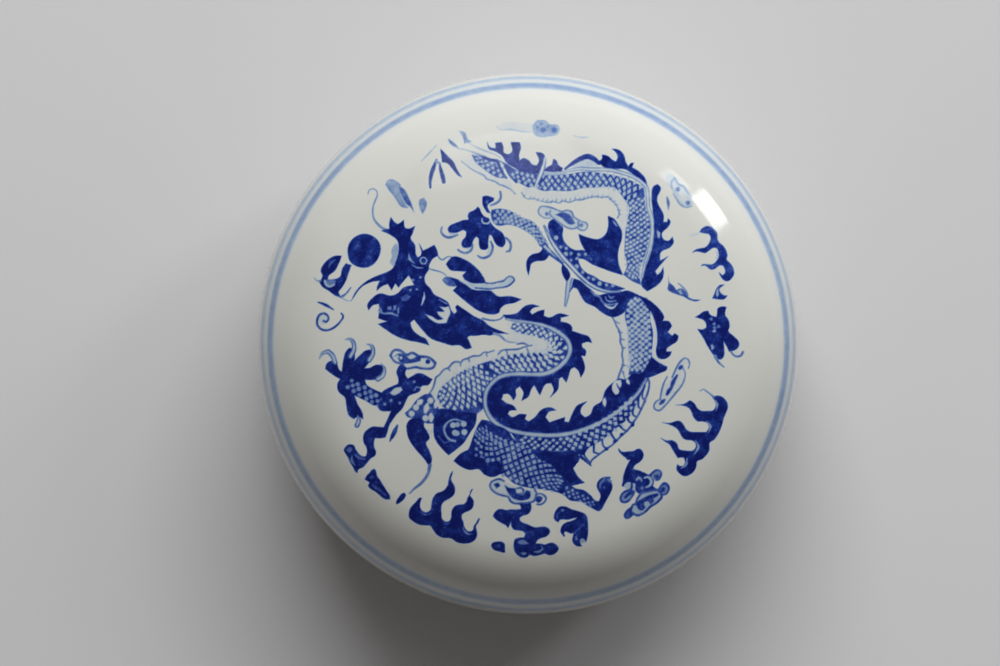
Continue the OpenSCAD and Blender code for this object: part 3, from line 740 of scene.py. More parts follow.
# Upper body and tail, with the belly's edge, the ridge along the back and its fins.
wash("upper_body", 0.06, """
    -1,24.2 2.2,22.8 5.4,22.8 9.4,23.3 12.6,23.5 14.2,21.6 14.4,19 14.9,17.6 15.2,14.4 16,16 16.4,20 16,23
    14.6,25.2 10.5,25.6 5.4,25.2 1.6,25.6 -0.6,25.4""")
wash("upper_body", 0.7, """
    2,27 4,26.9 6,27.1 8.6,27.5 11,27.4 13.4,27 15.4,26.5 17.2,25.7 18.3,24.9 18.5,23.6 18.6,22 19.2,20.4
    19.3,17.8 19,15.8 18.3,13.6 17.6,11.8 17.8,9.4 16.6,9.9 15,11 15.6,12.6 15.2,14.4 15.3,16.4 15.4,18.2
    15.8,20.2 16,21.6 15.4,22.9 14.6,24 13.8,24.9 12.4,25.1 10.5,25 8.6,24.9 7,24.5 5.4,24.4 3.6,24.5 2.4,24.4
    1.2,24.8 1.7,25.6""")
scales(None, 0.17, (1.2, 1.3, 1.4, 1.3, 1.3, 1.6, 1.7),
       "1.4,25.9 4.5,25.7 7.5,26 10.5,26.2 13.5,25.9 15.6,25.2 17.3,24",
       Rows=4, Columns=16, Length=0.68, Fill=1.42, Slant=0.15, Jitter=0.08, Seed=21)
scales(None, 0.17, (1.7, 1.8, 1.9, 2.0, 1.9, 1.6, 0.9),
       "17,23.2 17.2,22 17.3,20.6 17.4,18 17.2,15.2 16.7,12.6 17,10.4",
       Rows=7, Columns=16, Length=0.6, Fill=1.36, Slant=0.35, Jitter=0.08, Seed=22)
scales(None, 0.4, (0.4, 0.4),
       "-0.8,23.7 0.6,23.3 3,22.75 5.4,22.95 8.4,23.2 11.8,23.55 13.2,23 14.3,21.5 14.3,20.2",
       Rows=1, Columns=24, Length=0.7, Fill=0.25, Slant=1.2, Jitter=0.12, Seed=15)
stroke("upper_body", 0.38, (0.2, 0.26, 0.24), """
    -1.2,24.2 -0.8,23.5 -0.1,23.1 0.6,23.2 1.4,22.9 2.2,22.7 3,22.55 3.8,22.7 4.8,22.5 5.4,22.8 6.4,22.6
    7.4,22.95 8.4,23 9.4,23.3 10.6,23.5 11.8,23.4 12.6,23.5 13.2,22.9 13.9,22.2 14.2,21.6 14.4,20.8
    14.1,20.1""")
UPPER_LINE = """
    1.9,27.2 3.5,27.2 5,27.3 6.4,27.7 8.2,28 9.8,27.9 11.6,27.9 13.2,27.8 14.8,27.4 16.4,26.9 17.8,26.1
    18.8,25 19,23.4 19.1,21.8 19.6,20.2 19.7,18.4 19.5,16.4 19,14.4 18.4,12.6 18,10.6"""
wash("upper_fins", 0.85, """
    19.9,25.2 20.6,25.6 21.1,25 20.5,23.4 20.6,22.5 21.5,20.7 21.5,19.5 22.1,19.5 22.2,20.1 22.6,19.6
    22.3,18.8 21.2,17.6 21.5,16.7 22.3,16.5 22.9,17.1 23.1,16.3 22.6,15.5 21,14.6 20.9,13.3 22.2,14 20.6,12.2
    20.1,11.6 20.4,11 21,11.5 21.4,12.3 21.4,10.8 20.8,9.7 19.7,8.9 18.8,8.4 17.9,9.3 18,10.5 18.5,12
    19.1,13.6 19.7,15.6 19.9,17.8 19.9,20 19.7,22 19.6,23.8""")
wash(None, 0.25, "20.4,18.2 21,17.8 20.9,16.9 20.5,17")
wash("upper_fins", 0.9, """
    11,29.2 11.7,29.6 11.7,30.3 12.6,30.1 13.3,29.5 13.9,29.2 14.2,29.8 14,30.6 13.3,31.3 14.4,31.1 15.2,30.3
    15.5,29.2 15.9,28.4 16.4,29 16.8,29 16.5,28.3 17.5,27.7 18.6,26.5 18.9,25.2 18.8,24.4 18.3,25.4 17.4,26.5
    16.2,27.5 15.2,28 13.6,28 12,28.3 / 2.3,27.6 3,28.3 3.6,28.6 3.9,29.6 4.4,29.3 4.7,28.6 5.4,28.1 5.2,27.6
    4,27.5""")
wash("upper_fins", 0.14, "6.6,28.2 8,29.2 9.4,29.4 10.6,29.1 11.2,28.5 9.4,28.2")
stroke("upper_fins", 0.82, (0.3, 0.6, 0.8, 0.85, 0.5), "5.8,28 7,28.9 8.2,29.6 9.5,30 10.4,29.6 11.2,28.9")
stroke("upper_fins", 0.55, (0.3, 0.65, 0.65, 0.6, 0.4), UPPER_LINE)
stroke("upper_fins", 0.13, (0.2, 0.42, 0.42, 0.42, 0.2), UPPER_LINE)
wash("upper_fins", 0.84, """
    2.2,27.8 1.9,27.3 1,27.2 -1.2,27.5 -2.4,28.2 -3.6,29 -4.3,30.1 -5.4,30.8 -6.4,31.2 -6.7,32.4 -6.2,31.5
    -5.3,31.3 -5.4,32.2 -4.4,32.3 -4.1,31.5 -4,30.6 -3.3,30.3 -2.7,30.8 -2.9,32.3 -1.5,32.3 -1.3,31.5
    -1.6,30.2 -1.5,29.3 -0.9,29.7 0,29.3 0.5,28.7 1.2,28.5 1.6,29.2 1.1,30.7 2.3,30.4 2.6,29.7 2.4,28.8""")
wash("belly_fin", 0.92, """
    12.6,20.4 13.6,19.9 14.3,18.9 14.75,18 14.8,17 14.2,14.8 14.2,13 14.9,11 12.4,11.8 10.6,12.9 9.6,13.9
    8.9,14.9 8.1,16.5 7.9,17.5 9.2,17 11,16.7 12.2,17.5 12.6,18.8""")
wash(None, 0.3, "13.2,19.8 13.8,19.4 14.2,18.7 13.7,18.9")

# Upper claw at the end of the raised leg: five toes, each with a curved nail.
wash("upper_claw", 0.93, """
    -9.6,19.8 -9.75,20.4 -9.5,21 -9,21.2 -8.5,21.5 -8.2,21.9 -7.9,21.6 -7.6,20.9 -7.1,20.3 -6.4,20 -6,19.2
    -5.4,18.5 -4.4,17.8 -3.9,17 -3.8,16 -4.2,15.4 -4.8,15.5 -5.4,16.1 -5.7,16.8 -6,17.3 -6.35,17.4 -6.45,16.8
    -6.5,16 -6.6,15.2 -7.1,15 -7.7,15.15 -7.95,15.8 -8.05,16.8 -8.4,17.1 -8.7,16.8 -9,16.2 -9.2,15.5 -9.8,15.3
    -10.5,15.4 -10.75,15.9 -10.6,16.5 -10.1,17.1 -10,17.9 -10.5,18.15 -11.1,17.9 -11.8,17.7 -12.7,17.75
    -12.95,18.3 -12.6,18.85 -11.9,19.2 -11.1,19.5 -10.4,19.75""")
wash("upper_claw", 0.92, """
    -7.4,23.5 -6.8,23.65 -6.2,23.5 -5.6,23.3 -5.6,22.9 -6.2,22.5 -6.6,22.1 -6.5,21.5 -6.1,20.8 -6.7,21
    -7.1,21.6 -7.4,22.3""")
wash(None, 0.55, "-7,22.9 -6.5,22.9 -6.5,22.4 -6.9,22.3")
stroke("upper_claw", 0.52, (0.3, 0.42, 0.42, 0.3), """
    -13.9,18.6 -14,17.9 -13.6,17.3 -12.9,16.98 -12.1,17.1 -11.4,17.4 / -11.3,15 -10.8,14.65 -10.1,14.5
    -9.5,14.7 -9.1,15.2 -9,15.8 / -8.15,14.05 -7.7,13.75 -6.9,13.75 -6.25,14.15 -5.9,14.8 -5.8,15.5
    -6.1,16.3 / -3.6,14.7 -3.1,14.8 -2.9,15.6 -3.1,16.3 -3.7,16.9 / -4.6,24.3 -4.5,23.6 -4.7,22.9
    -5.3,22.4 -6.1,22.1""")
stroke("upper_claw", 0.2, (0.2, 0.35, 0.2), """
    -12.7,17.5 -12,17.5 -11.4,17.55 / -6.4,15.6 -6.35,14.9 -6.7,14.4 / -9.9,15.1 -9.5,15.2 / -7.5,20 -7.4,19.4
    -7,19.2 -6.4,19.3 -6.2,19.8""")

# Tail, thin and half lost in the reflection of the window.
wash("tail", 0.07, "-10.6,29.4 -8.8,28 -6.8,26.6 -4.4,25.5 -2.4,24.4 -3.2,26.2 -4.4,27.4 -6.6,28.4 -9,29.6")
wash("tail", 0.68, """
    1.6,24.6 0.8,25.2 0,25 -1,25.4 -2.2,26.1 -3.2,27 -3.6,27.9 -4.4,29 -5.2,29.6 -3.6,28.8 -2.2,27.9 -0.6,27.4
    1.4,27 2,26.2""")
wash("tail", 0.64, """
    -9.2,30.3 -7.6,29.9 -6.2,29.3 -4.9,28.6 -4.2,27.6 -3.8,26.5 -4.8,26.5 -6.2,27.2 -7.4,28.1 -8.6,29.2""")
scales(None, 0.2, (1.1, 1.0, 0.8), "1.6,25.9 -0.6,26.3 -2.8,27.2",
       Rows=3, Columns=5, Length=0.72, Fill=1.3, Slant=0.3, Jitter=0.06, Seed=2)
scales(None, 0.2, (1.0, 0.9, 0.4), "-4.1,27.4 -6.2,28.4 -8.6,29.8",
       Rows=3, Columns=5, Length=0.72, Fill=1.2, Slant=0.3, Jitter=0.06, Seed=9)
stroke("tail", 0.8, (0.2, 0.4, 0.5, 0.3), "-9,30.7 -7.6,30.1 -6.3,29.5 -5,29.1 -4.7,28.3 -4.2,27.4")
stroke("tail", 0.66, (0.5, 0.8, 0.85, 0.5), "2.5,29.6 2.3,28.5 2,27.5 1.5,26.3 1,25.2")
stroke(None, 0.12, (0.3, 0.5, 0.55, 0.3), "2.6,29.8 2.3,28.5 2,27.5 1.5,26.3 1,25.1")
stroke("tail", 0.72, (0.15, 0.35, 0.3), """
    -5.2,29.3 -4.7,28.4 -4.2,27.4 -3.6,26.5 / -3.9,28.4 -3.4,27.5 -2.8,26.6 -2,25.8""")
stroke("tail", 0.42, (0.15, 0.26, 0.26, 0.2), """
    -10.8,29.2 -10,28.6 -9.4,28.1 -8.6,27.6 -7.8,27.2 -7.2,26.9 -6.8,26.4 -6,26.1 -5.4,25.9 -4.8,25.5 -4,25.2
    -3.4,24.9 -2.9,24.6 -2.2,23.9""")
stroke("tail", 0.24, (0.15, 0.35, 0.2), """
    -11.4,31.3 -10.2,31.1 -9,30.7 -7.6,30.3 -6.4,29.8 / -9.8,32.3 -8.6,31.6 -7,30.9 -5.4,30.3 -4.4,29.7 /
    -17.2,29.3 -16,30.6 -14.8,31.9""")
wash("tail", 0.5, "-13,33 -12.4,32.6 -11.6,31.9 -11.3,31.4 -12,31.6 -12.7,32.2")
wash("tail", 0.32, "-11.3,34.3 -10.2,33.9 -9.8,32.9 -9,32.4 -10.4,32.1 -10.6,33.2")
wash("tail", 0.85, """
    -14.2,31.3 -13,30.1 -12,29 -11.5,27.9 -10.7,26.6 -11.4,27 -12.3,28.1 -13.1,28.95 -13.9,29.1 -14,30.2""")
stroke("tail", 0.74, (0.3, 0.65, 0.55, 0.3), "-14.8,29.5 -15.2,28.4 -15.6,27.2 -15.8,25.9 -15.75,25")
stroke("tail", 0.74, (0.2, 0.5, 0.65, 0.6), "-14.3,28.9 -14.1,27.9 -13.8,26.8 -13.6,25.9")
stroke("tail", 0.35, (0.5, 0.3), "-14.8,29.2 -14.2,28.9")

# Leaf of cloud by the whisker, and the faint clouds over the back.
wash("upper_clouds", 0.3, """
    -22.8,25.7 -22,26.25 -20.9,25.5 -20.6,24.3 -20.2,23.2 -19.4,21.9 -20.4,22 -21,22.9 -21.7,23.9
    -22.6,24.9""")
wash("upper_clouds", 0.55, """
    -20.8,25.3 -20,24.8 -19.2,23.4 -18.6,22 -18.3,20.9 -18.9,21.8 -19.6,22.4 -20.2,23.4 -20.6,24.2""")
stroke("upper_clouds", 0.38, (0.25, 0.25), """
    -22.9,25.5 -22.6,26.1 -22,26.3 -21.3,26 -20.6,25.4 / -22.8,25.6 -22.4,24.8 -21.6,23.8 -21,22.9 -20.3,22
    -19.4,21.8""")
wash("upper_clouds", 0.42, "-17.5,23 -16.8,23.4 -16.3,22.6 -16.5,21.6 -17,20.7 -17.5,21.8")
wash("upper_clouds", 0.1, "-5,34.6 -4.4,35.4 -3,35.6 -1,35.4 0.8,35.2 0.8,34.1 -1,34 -3.4,34.3")
stroke("upper_clouds", 0.2, (0.2, 0.3, 0.2), """
    -5.2,35 -4.6,34.4 -3,34.4 -1,34 0.6,34 / 7.2,33.4 8.4,33.1 9.5,33.2""")
wash("upper_clouds", 0.27, """
    0.6,34.4 0.8,35.4 1.6,36.1 2.6,36 3.4,35.3 4.6,35.2 5,34.6 4.6,33.6 3.2,33.2 1.8,33.1 0.8,33.6""")
dots(None, 0.45, 0.9, "2.3,34.3 4.1,34.3")
dots(None, 0.38, 0.5, "2,35.3 1.4,34.8 3,34.9")
wash("upper_clouds", 0.13, """
    1.5,21.2 1.9,21.9 2.8,21.9 4.4,21.4 5.2,21.1 6,21.3 6.9,20.9 7.1,20.2 8.4,19.5 9.2,19.2 9.1,18.3 8.3,18.1
    7.2,18.5 6,18.5 4.9,19.2 3.6,20.1 2.2,20.2""")
stroke("upper_clouds", 0.45, (0.2, 0.28, 0.25), """
    3.4,20 2.4,20.1 1.6,20.7 1.5,21.3 1.9,21.9 2.8,21.9 3.6,21.7 4.4,21.4 5.2,21.1 6,21.3 6.8,21 7.1,20.3
    7.8,19.8 8.4,19.5 9.1,19.3 9.3,18.8 9,18.2 8.3,18.1 7.8,18.4 / 3.4,21.2 3.3,20.7 3.7,20.2 4.4,19.6
    5.4,18.9 6.4,18.4 7.3,18.4 7.9,18.8 7.8,19.4""")
wash("upper_clouds", 0.6, "4.2,20.6 5,20.9 6.2,20.8 6.8,20.2 7.3,19.2 6.6,19 5.9,19.4 5.2,20.1")
dots("upper_clouds", 0.5, 0.55, "2.8,20.7 8.3,18.9")
wash("upper_clouds", 0.66, """
    22.2,10.8 22.4,9.8 23,9.3 23.5,8.6 24.2,8.9 25,8.3 25.2,7.7 26,7.2 27.4,7.05 26.6,6.8 25.5,7.1 24.6,7.6
    23.6,7.9 22.6,8.3 22.1,8.7 22.2,9.5""")
wash(None, 0.25, "23.7,8.5 24.2,8.6 24.6,8 24.1,7.9")
stroke("upper_clouds", 0.5, (0.15, 0.3, 0.35), "23.8,9.7 24.6,9 25.1,8.3 25.3,7.7")
stroke("upper_clouds", 0.45, (0.25, 0.55, 0.15), "22.1,23.5 22.3,22.5 22.3,21.5")
wash("upper_clouds", 0.13, """
    21.8,26.6 22.2,27.4 23,27.2 23.8,26.4 24.2,25.5 24.8,25.3 25.4,24.4 26,23.6 26.4,22.8 26.1,22.1 25.2,21.9
    24.2,22.3 23.6,23.2 23,24.2 22.8,25 22.2,25.6""")
stroke("upper_clouds", 0.3, (0.2, 0.4, 0.4, 0.25), """
    22.9,25 22.9,26 23.4,26.6 24.1,25.6 24.8,25.3 25.4,24.5 26.1,23.6 / 23.1,24 23.7,23.1 24.3,22.3 25.2,21.9
    26.1,22.1""")
dots("upper_clouds", 0.5, 0.7, "23.9,24.8 25.5,22.6")

# Haunch and hind foot at the bottom, covered in pale scales, with a dark fin on either side.
wash("haunch", 0.86, """
    -7.5,-12 -8.2,-13 -9,-15 -9.8,-16.9 -10.8,-17.4 -12,-18.6 -10.6,-19.6 -9.4,-20 -8,-19.9 -7,-20.8
    -5.8,-21.15 -4.6,-20.7 -3.8,-21 -2.4,-22.2 0,-22.9 2.5,-23.2 4.4,-23.6 5.6,-24.1 6.5,-24.9 7.6,-25.1
    8.4,-25.2 9.2,-25.75 10.3,-26.3 11.15,-26.7 11.6,-26.4 12,-25.7 12.4,-24.8 12.9,-23.9 13.3,-22.9
    13.2,-22.2 12.9,-21.8 13,-21.2 12.2,-21.15 11.5,-21.4 11,-21.9 10.8,-22.6 10.95,-23.2 11.35,-23.9
    11.4,-24.6 11.2,-25.1 10.6,-25 9.8,-24.1 8.7,-23.3 7.4,-23 6.8,-22.6 7.8,-22.35 8.8,-22.1 7.8,-21.2
    7.2,-20.4 7,-19.6 7.2,-18.8 8,-18.3 7.6,-17 0,-16.6 -2.5,-15 -3.6,-13.6 -5.2,-12.9 -6.4,-12.2""")
scales(None, 0.28, (1.0, 2.3, 3.0, 3.0, 2.3, 1.2),
       "-7.9,-13.4 -6.3,-16.4 -3.6,-18.2 -0.4,-19.6 2.6,-21.3 5,-22.6",
       Rows=9, Columns=14, Length=0.84, Fill=1.34, Slant=0.1, Jitter=0.09, Seed=31)
scales(None, 0.32, (0.9, 0.7, 0.7, 0.4), "5.6,-23.3 7.4,-24.1 9,-24.9 10.6,-25.8",
       Rows=3, Columns=6, Length=0.6, Fill=1.15, Jitter=0.07, Seed=33)
wash(None, 0.97, """
    -9.6,-16.9 -10.8,-17.4 -12,-18.6 -10.6,-19.6 -9.4,-20 -8,-19.9 -7,-20.8 -5.8,-21.15 -4.7,-20.7 -4.2,-19.6
    -4.6,-18.9 -5.6,-18.7 -6.4,-19.1 -7.2,-18.3 -8.2,-17.3 / 0.3,-17 4,-17.2 7.6,-17.2 8,-18.3 7,-19.8
    7.9,-21.3 8.8,-22.1 7,-22.3 6,-21.6 4.6,-20.2 3.2,-19 1.6,-18.2 / 11.3,-22.4 12.6,-22 13.1,-22.8
    12.4,-24.8 11.6,-26 11.2,-25.4 11.6,-24""")
stroke(None, 0.5, (0.3, 0.5, 0.3), "11.3,-22.9 11.4,-22.2 11.9,-21.7 / 12.6,-21.6 13.1,-21.9")
dots(None, 0.45, 0.55, "-8.4,-17.7 -7.6,-17.9 -6.6,-18.7")

# Shoulder: two dark lobes under the mane, ringed petals where the foreleg joins, and a whisker of smoke.
wash("shoulder", 0.72, """
    -17.9,-8.9 -16.6,-8 -15.6,-7.9 -14.4,-10.2 -14.6,-12.6 -16.4,-12.6 -17.6,-11.8 -19.4,-11.6 -19.8,-11
    -18.9,-10.2""")
wash("shoulder", 0.95, """
    -15,-11.5 -15.2,-13 -15.2,-14 -15,-15 -13.9,-16.6 -12.8,-17.7 -11.5,-16.7 -10.3,-15.6 -9.4,-14.1
    -8.6,-12.9 -8.3,-11 -10,-10.9 -12.7,-10.4 -14.4,-10.4""")
stroke(None, 0.3, (0.3, 0.45, 0.4), """
    -10.6,-12.3 -11.9,-12 -13.1,-12.6 -13.5,-13.4 -13.3,-14.4 -12.6,-15.2 -11.8,-15.4""")
dots(None, 0.2, 1.0, "-12.1,-12.9 -11.8,-14.1 -10.4,-12.7 -10.3,-14")
dots(None, 0.25, 0.9, "-11.4,-12.8 -11.5,-14.2")
stroke(None, 0.5, (0.2, 0.2), "-14.5,-14.6 -13.5,-15.8 -12.6,-15.4")
wash("shoulder", 0.96, """
    -19,-12.1 -19.5,-12.9 -19.5,-13.8 -19.2,-15 -18.2,-16.6 -16.8,-18.2 -15.9,-19.5 -15.6,-18.9 -15.5,-18.2
    -15.9,-17 -16.4,-15.7 -15.9,-15.1 -16.1,-14.1 -16.7,-13.2 -16.8,-12.2 -17.9,-11.7""")
dots(None, 0.14, 1.0, "-18.7,-11.1 -18,-10.1 -16.5,-11.8 -15.7,-9")
stroke(None, 0.12, (0.5, 0.95, 0.5), """
    -16.2,-9.6 -16.5,-10.8 / -17.1,-9 -17.7,-9.5 / -14.5,-9 -14.9,-10 / -15.6,-11.2 -15.6,-12.2 / -15.9,-13.4
    -15.6,-14.2""")
stroke("shoulder", 0.5, (0.6, 0.5, 0.45, 0.25), """
    -15.8,-19.3 -16.1,-20.6 -16.6,-21.5 -17.4,-22.4 -18.3,-23.1 -19.1,-23.9""")

# Left claw at the end of the foreleg, with a ring of small cloud below it.
wash("left_claw", 0.96, """
    -32.6,-4 -32.4,-3.2 -31.6,-2.7 -30.8,-3.1 -30.3,-4.2 -29.9,-4.4 -29.7,-2.8 -29.3,-1.3 -28.7,-0.6
    -28.1,-0.9 -27.8,-2 -27.9,-2.7 -27,-1.8 -26.2,-1.1 -25.4,-0.9 -25,-1.6 -25.3,-2.6 -26.3,-3.9 -25.4,-3.8
    -24.3,-3.3 -23.4,-3.5 -23.1,-4.3 -23.3,-5.5 -24.4,-5.7 -26.2,-5.7 -25.9,-6.5 -25,-7.1 -23.4,-7.8 -22.4,-8
    -23.6,-9.4 -24.5,-9.8 -26,-9.1 -27.9,-8.2 -27.4,-9.6 -26.6,-11 -26.5,-12 -27.3,-11.6 -28,-12 -28.8,-11.4
    -29.2,-9.8 -29.4,-8.6 -30.5,-7.5 -30.6,-6.3 -30.2,-5.6 -31.4,-4.9""")
scales(None, 0.4, (0.9, 1.0, 1.0, 0.7), "-28.9,-6.2 -27,-7.3 -24.9,-8.6 -22.9,-9.8",
       Rows=3, Columns=6, Length=0.78, Fill=1.2, Sides=8, Slant=0.5, Jitter=0.08, Seed=17)
LEFT_NAILS = """
    -33.6,-2.4 -33,-1.5 -32.1,-1.2 -31.4,-1.9 -31,-3 / -29.4,0.7 -28.6,0.8 -28,0.1 -28,-1 -28.5,-2 / -25.9,0
    -25.1,-0.3 -24.9,-1.4 -25.5,-2.6 / -23.6,-3.1 -23.1,-3.9 -23.3,-5 -24.1,-5.6 / -27.4,-11.4 -27.2,-12.2
    -27.5,-13"""
stroke("left_claw", 0.62, (0.12, 0.6, 0.82, 0.8), LEFT_NAILS)
stroke(None, 0.2, (0.05, 0.25, 0.42, 0.35), LEFT_NAILS)
wash("left_vine", 0.94, """
    -23.4,-7.7 -22.4,-7 -21.5,-6.6 -20.9,-6.3 -20.8,-5.6 -21.1,-4.4 -20.4,-3.2 -19.3,-3.1 -18.8,-3.6
    -19.6,-4.2 -19.7,-4.9 -19.3,-5.5 -18.6,-5.1 -17.9,-4.7 -17,-4.7 -16.1,-5.2 -15.4,-5.6 -16,-6.5 -17.1,-6.7
    -17.4,-7.5 -18.6,-8 -19.2,-8.3 -19.7,-9.3 -20.3,-10.4 -21.1,-11.2 -21.7,-12 -22.3,-13 -22.6,-14
    -22.9,-14.9 -23.8,-15.05 -24.6,-15 -24.8,-15.9 -24.7,-16.6 -24.45,-17.2 -24.6,-17.8 -25.3,-18.3 -25.9,-19
    -26.5,-19.7 -26.9,-19.9 -27.3,-20.1 -27.5,-20.7 -27.8,-20.5 -28.2,-19.7 -28.6,-19.1 -28.9,-18.4
    -29.3,-17.7 -29.65,-17 -29.4,-16.5 -28.8,-16.1 -28.1,-16.2 -27.7,-16.9 -27.2,-17.6 -26.6,-18 -26.1,-18
    -25.9,-17.4 -26,-16.5 -26.4,-15.8 -26.5,-15 -26.3,-14.2 -25.7,-13.6 -24.9,-13.2 -23.9,-13.25 -23.2,-13.3
    -22.8,-12.5 -22.4,-11.6 -22,-10.7 -22.7,-10.7 -23.4,-10.7 -24,-10.3 -24,-9.6 -23.5,-8.9""")
wash(None, 0.14, "-22.2,-7.8 -21.4,-7 -20.4,-6.8 -20.1,-7.3 -20.8,-7.9 -21.6,-8.2")
dots(None, 0.4, 0.55, "-20.6,-9.4 -22,-9 -23,-9.6 -18.3,-6")
stroke(None, 0.35, (0.2, 0.25, 0.2), "-18.3,-7.4 -17.9,-6.8 -17.3,-7")
wash(None, 0.5, "-29,-16.6 -28.4,-16.5 -28.3,-17 -28.8,-17.5 -29.2,-17.1")
stroke(None, 0.5, (0.25, 0.5, 0.35), """
    -28.3,-17.9 -28.4,-18.7 -27.9,-19.4 / -27.9,-17.7 -27.2,-18.2 -26.3,-18.4""")
stroke("left_vine", 0.78, (0.3, 0.75, 0.6, 0.2), "-21,-13 -21.4,-13.9 -21.8,-14.7 -22.2,-15.5")
wash("left_leaf", 0.93, """
    -24.65,-20 -25.1,-20.1 -25.5,-20.6 -25.9,-21 -26.3,-21.7 -25.9,-21.95 -25.5,-22.2 -25.75,-22.7 -25.4,-23.2
    -24.7,-23.6 -24,-24.15 -23.5,-24.6 -22.9,-24.9 -22.2,-24.9 -22.3,-24.2 -22.7,-23.65 -23.1,-23 -23.5,-22.35
    -23.9,-21.7 -24.3,-21.1 -24.45,-20.4""")
stroke(None, 0.6, (0.4, 0.6, 0.35), "-25.4,-21.4 -24.9,-21.3 / -25.1,-22.6 -24.4,-23.1 -23.6,-23.6 -23,-24.2")
wash("left_leaf", 0.94, """
    -19.9,-23.8 -19.65,-24.2 -20,-24.8 -20.65,-25.4 -21.2,-25.7 -21.25,-25.3 -20.8,-24.5 -20.3,-23.9""")
LEFT_CLOUD_EDGE = """
    -21.4,-2.8 -22.1,-1.8 -21.5,-1 -20.6,-1 -19.4,-1.7 -18.6,-1.4 -17.6,-1.9 -15.8,-2.2 -14.9,-3
    -15.2,-3.7 -17,-3.9 -18,-3.7 -19.2,-3.9"""
wash("left_cloud", 0.1, "-20.2,-3.2" + LEFT_CLOUD_EDGE)
stroke("left_cloud", 0.64, (0.3, 0.42, 0.42, 0.36), "-20,-3.2" + LEFT_CLOUD_EDGE)
wash(None, 0.72, """
    -21.4,-1.9 -20.8,-2.4 -20.6,-2.8 -19.5,-3.1 -18.2,-2.9 -17.3,-2.7 -17.2,-2.1 -17.8,-2 -18.9,-2.4
    -19.6,-1.9 -20.1,-1.6 -20.8,-1.5""")
dots(None, 0.15, 0.5, "-20.4,-2.2 -18.7,-1.9 -21,-2")
dots("left_cloud", 0.8, 0.7, "-16.1,-2.8")

# Flames under the shoulder, and the leaf, clouds and licks of fire along the bottom.
wash("lower_flames", 0.97, """
    -17.1,-24.6 -17.5,-24.6 -17.85,-25 -18.2,-25.4 -18.65,-25.85 -19,-26.35 -19.2,-27.1 -19.15,-27.85
    -18.65,-28.3 -18.1,-28.7 -17.5,-28.95 -16.6,-29.05 -15.8,-29.1 -15.45,-29.55 -15,-30.25 -14.45,-30.75
    -13.7,-31.05 -12.85,-31.05 -12.3,-31.2 -11.7,-31.65 -11,-31.9 -10.1,-31.95 -9.2,-31.75 -8.55,-31.2
    -8.3,-30.55 -8.35,-29.8 -8.5,-29.2 -8.1,-28.5 -7.85,-27.9 -8.05,-27.85 -8.4,-28.5 -8.8,-29.1 -8.95,-29.75
    -9.5,-30 -10,-29.75 -10.4,-29.1 -10.5,-28.45 -10.75,-27.85 -10.7,-27.25 -10.25,-26.9 -9.65,-26.65
    -9.15,-26.3 -8.85,-25.65 -8.85,-25.05 -9.15,-24.55 -9.4,-24.2 -9.2,-23.6 -8.95,-23.1 -9.25,-23.3
    -9.5,-24.05 -9.8,-24.55 -10,-25.2 -10.4,-25.55 -11.1,-25.65 -11.75,-25.85 -12.2,-26.35 -12.4,-27.1
    -12.45,-27.85 -12.7,-28.3 -13.15,-28.45 -13.65,-28.25 -13.95,-27.85 -14,-27.1 -14.05,-26.35 -13.95,-25.65
    -13.55,-25.15 -13,-24.85 -12.4,-24.45 -11.95,-23.95 -11.8,-23.3 -11.9,-22.65 -12.25,-22.05 -12.45,-21.4
    -12.25,-20.8 -12.15,-20.25 -12.35,-20.45 -12.65,-21.1 -12.85,-21.85 -13,-22.6 -13.45,-23.25 -14,-23.6
    -14.65,-23.8 -15.15,-24.3 -15.45,-24.95 -15.6,-25.65 -15.7,-26.4 -16.05,-26.8 -16.5,-26.95 -17,-26.75
    -17.35,-26.3 -17.45,-25.65 -17.3,-25.05""")
stroke(None, 0.6, (0.15, 0.4, 0.15), """
    -17.3,-26.9 -16.5,-27.3 -15.7,-27 / -13.9,-28.3 -13.2,-28.75 -12.5,-28.5""")
stroke(None, 0.42, (0.15, 0.45, 0.2), "-10.6,-29.2 -10.3,-29.9 -9.7,-30.4 -9.1,-30.4")
wash("bottom_clouds", 0.9, """
    -5.9,-31.9 -5.3,-31.65 -4.4,-31.65 -3.9,-32 -3.85,-32.7 -3.8,-33.4 -4.2,-33.4 -4.7,-33.25 -5.6,-32.95
    -6,-32.4""")
wash(None, 0.66, "-5.5,-32.2 -4.7,-32 -4.5,-32.6 -5.2,-32.7")
wash("bottom_clouds", 0.92, """
    0.3,-25.35 0.35,-26.2 0.15,-26.8 -0.3,-27.2 -0.95,-27.4 -1.5,-27.75 -1.4,-28.25 -0.8,-28.6 -0.05,-28.9
    0.6,-29.2 1.25,-29.3 1.9,-29.2 2.6,-29.2 3.1,-29.45 3.35,-30 3.1,-30.5 2.6,-30.85 1.9,-31.05 1.4,-31.35
    1.1,-31.9 1.9,-31.95 2.6,-32.1 3.1,-31.9 3.75,-31.8 4.4,-32.15 4.75,-32.75 4.4,-33.4 3.75,-33.8 3.1,-33.8
    2.6,-33.6 2.1,-33.7 1.4,-33.9 0.75,-33.95 0.1,-33.8 -0.3,-34.15 -0.95,-34.25 -1.6,-34 -2.1,-33.5
    -2.4,-32.8 -2.4,-31.8 -2.2,-31.2 -1.4,-30.95 -0.8,-30.95 -0.55,-30.35 -0.95,-29.95 -1.7,-29.8 -2.4,-29.65
    -2.75,-29.2 -2.9,-28.3 -3.1,-28.9 -3.35,-29.4 -3.65,-29 -4.45,-28.55 -5.15,-28.1 -5.75,-27.5 -5.5,-26.95
    -4.9,-26.4 -4.3,-26.35 -3.7,-26.5 -3,-26.4 -2.1,-26.4 -1.3,-26.35 -1.35,-25.8 -1.7,-25.55 -0.9,-25.3""")
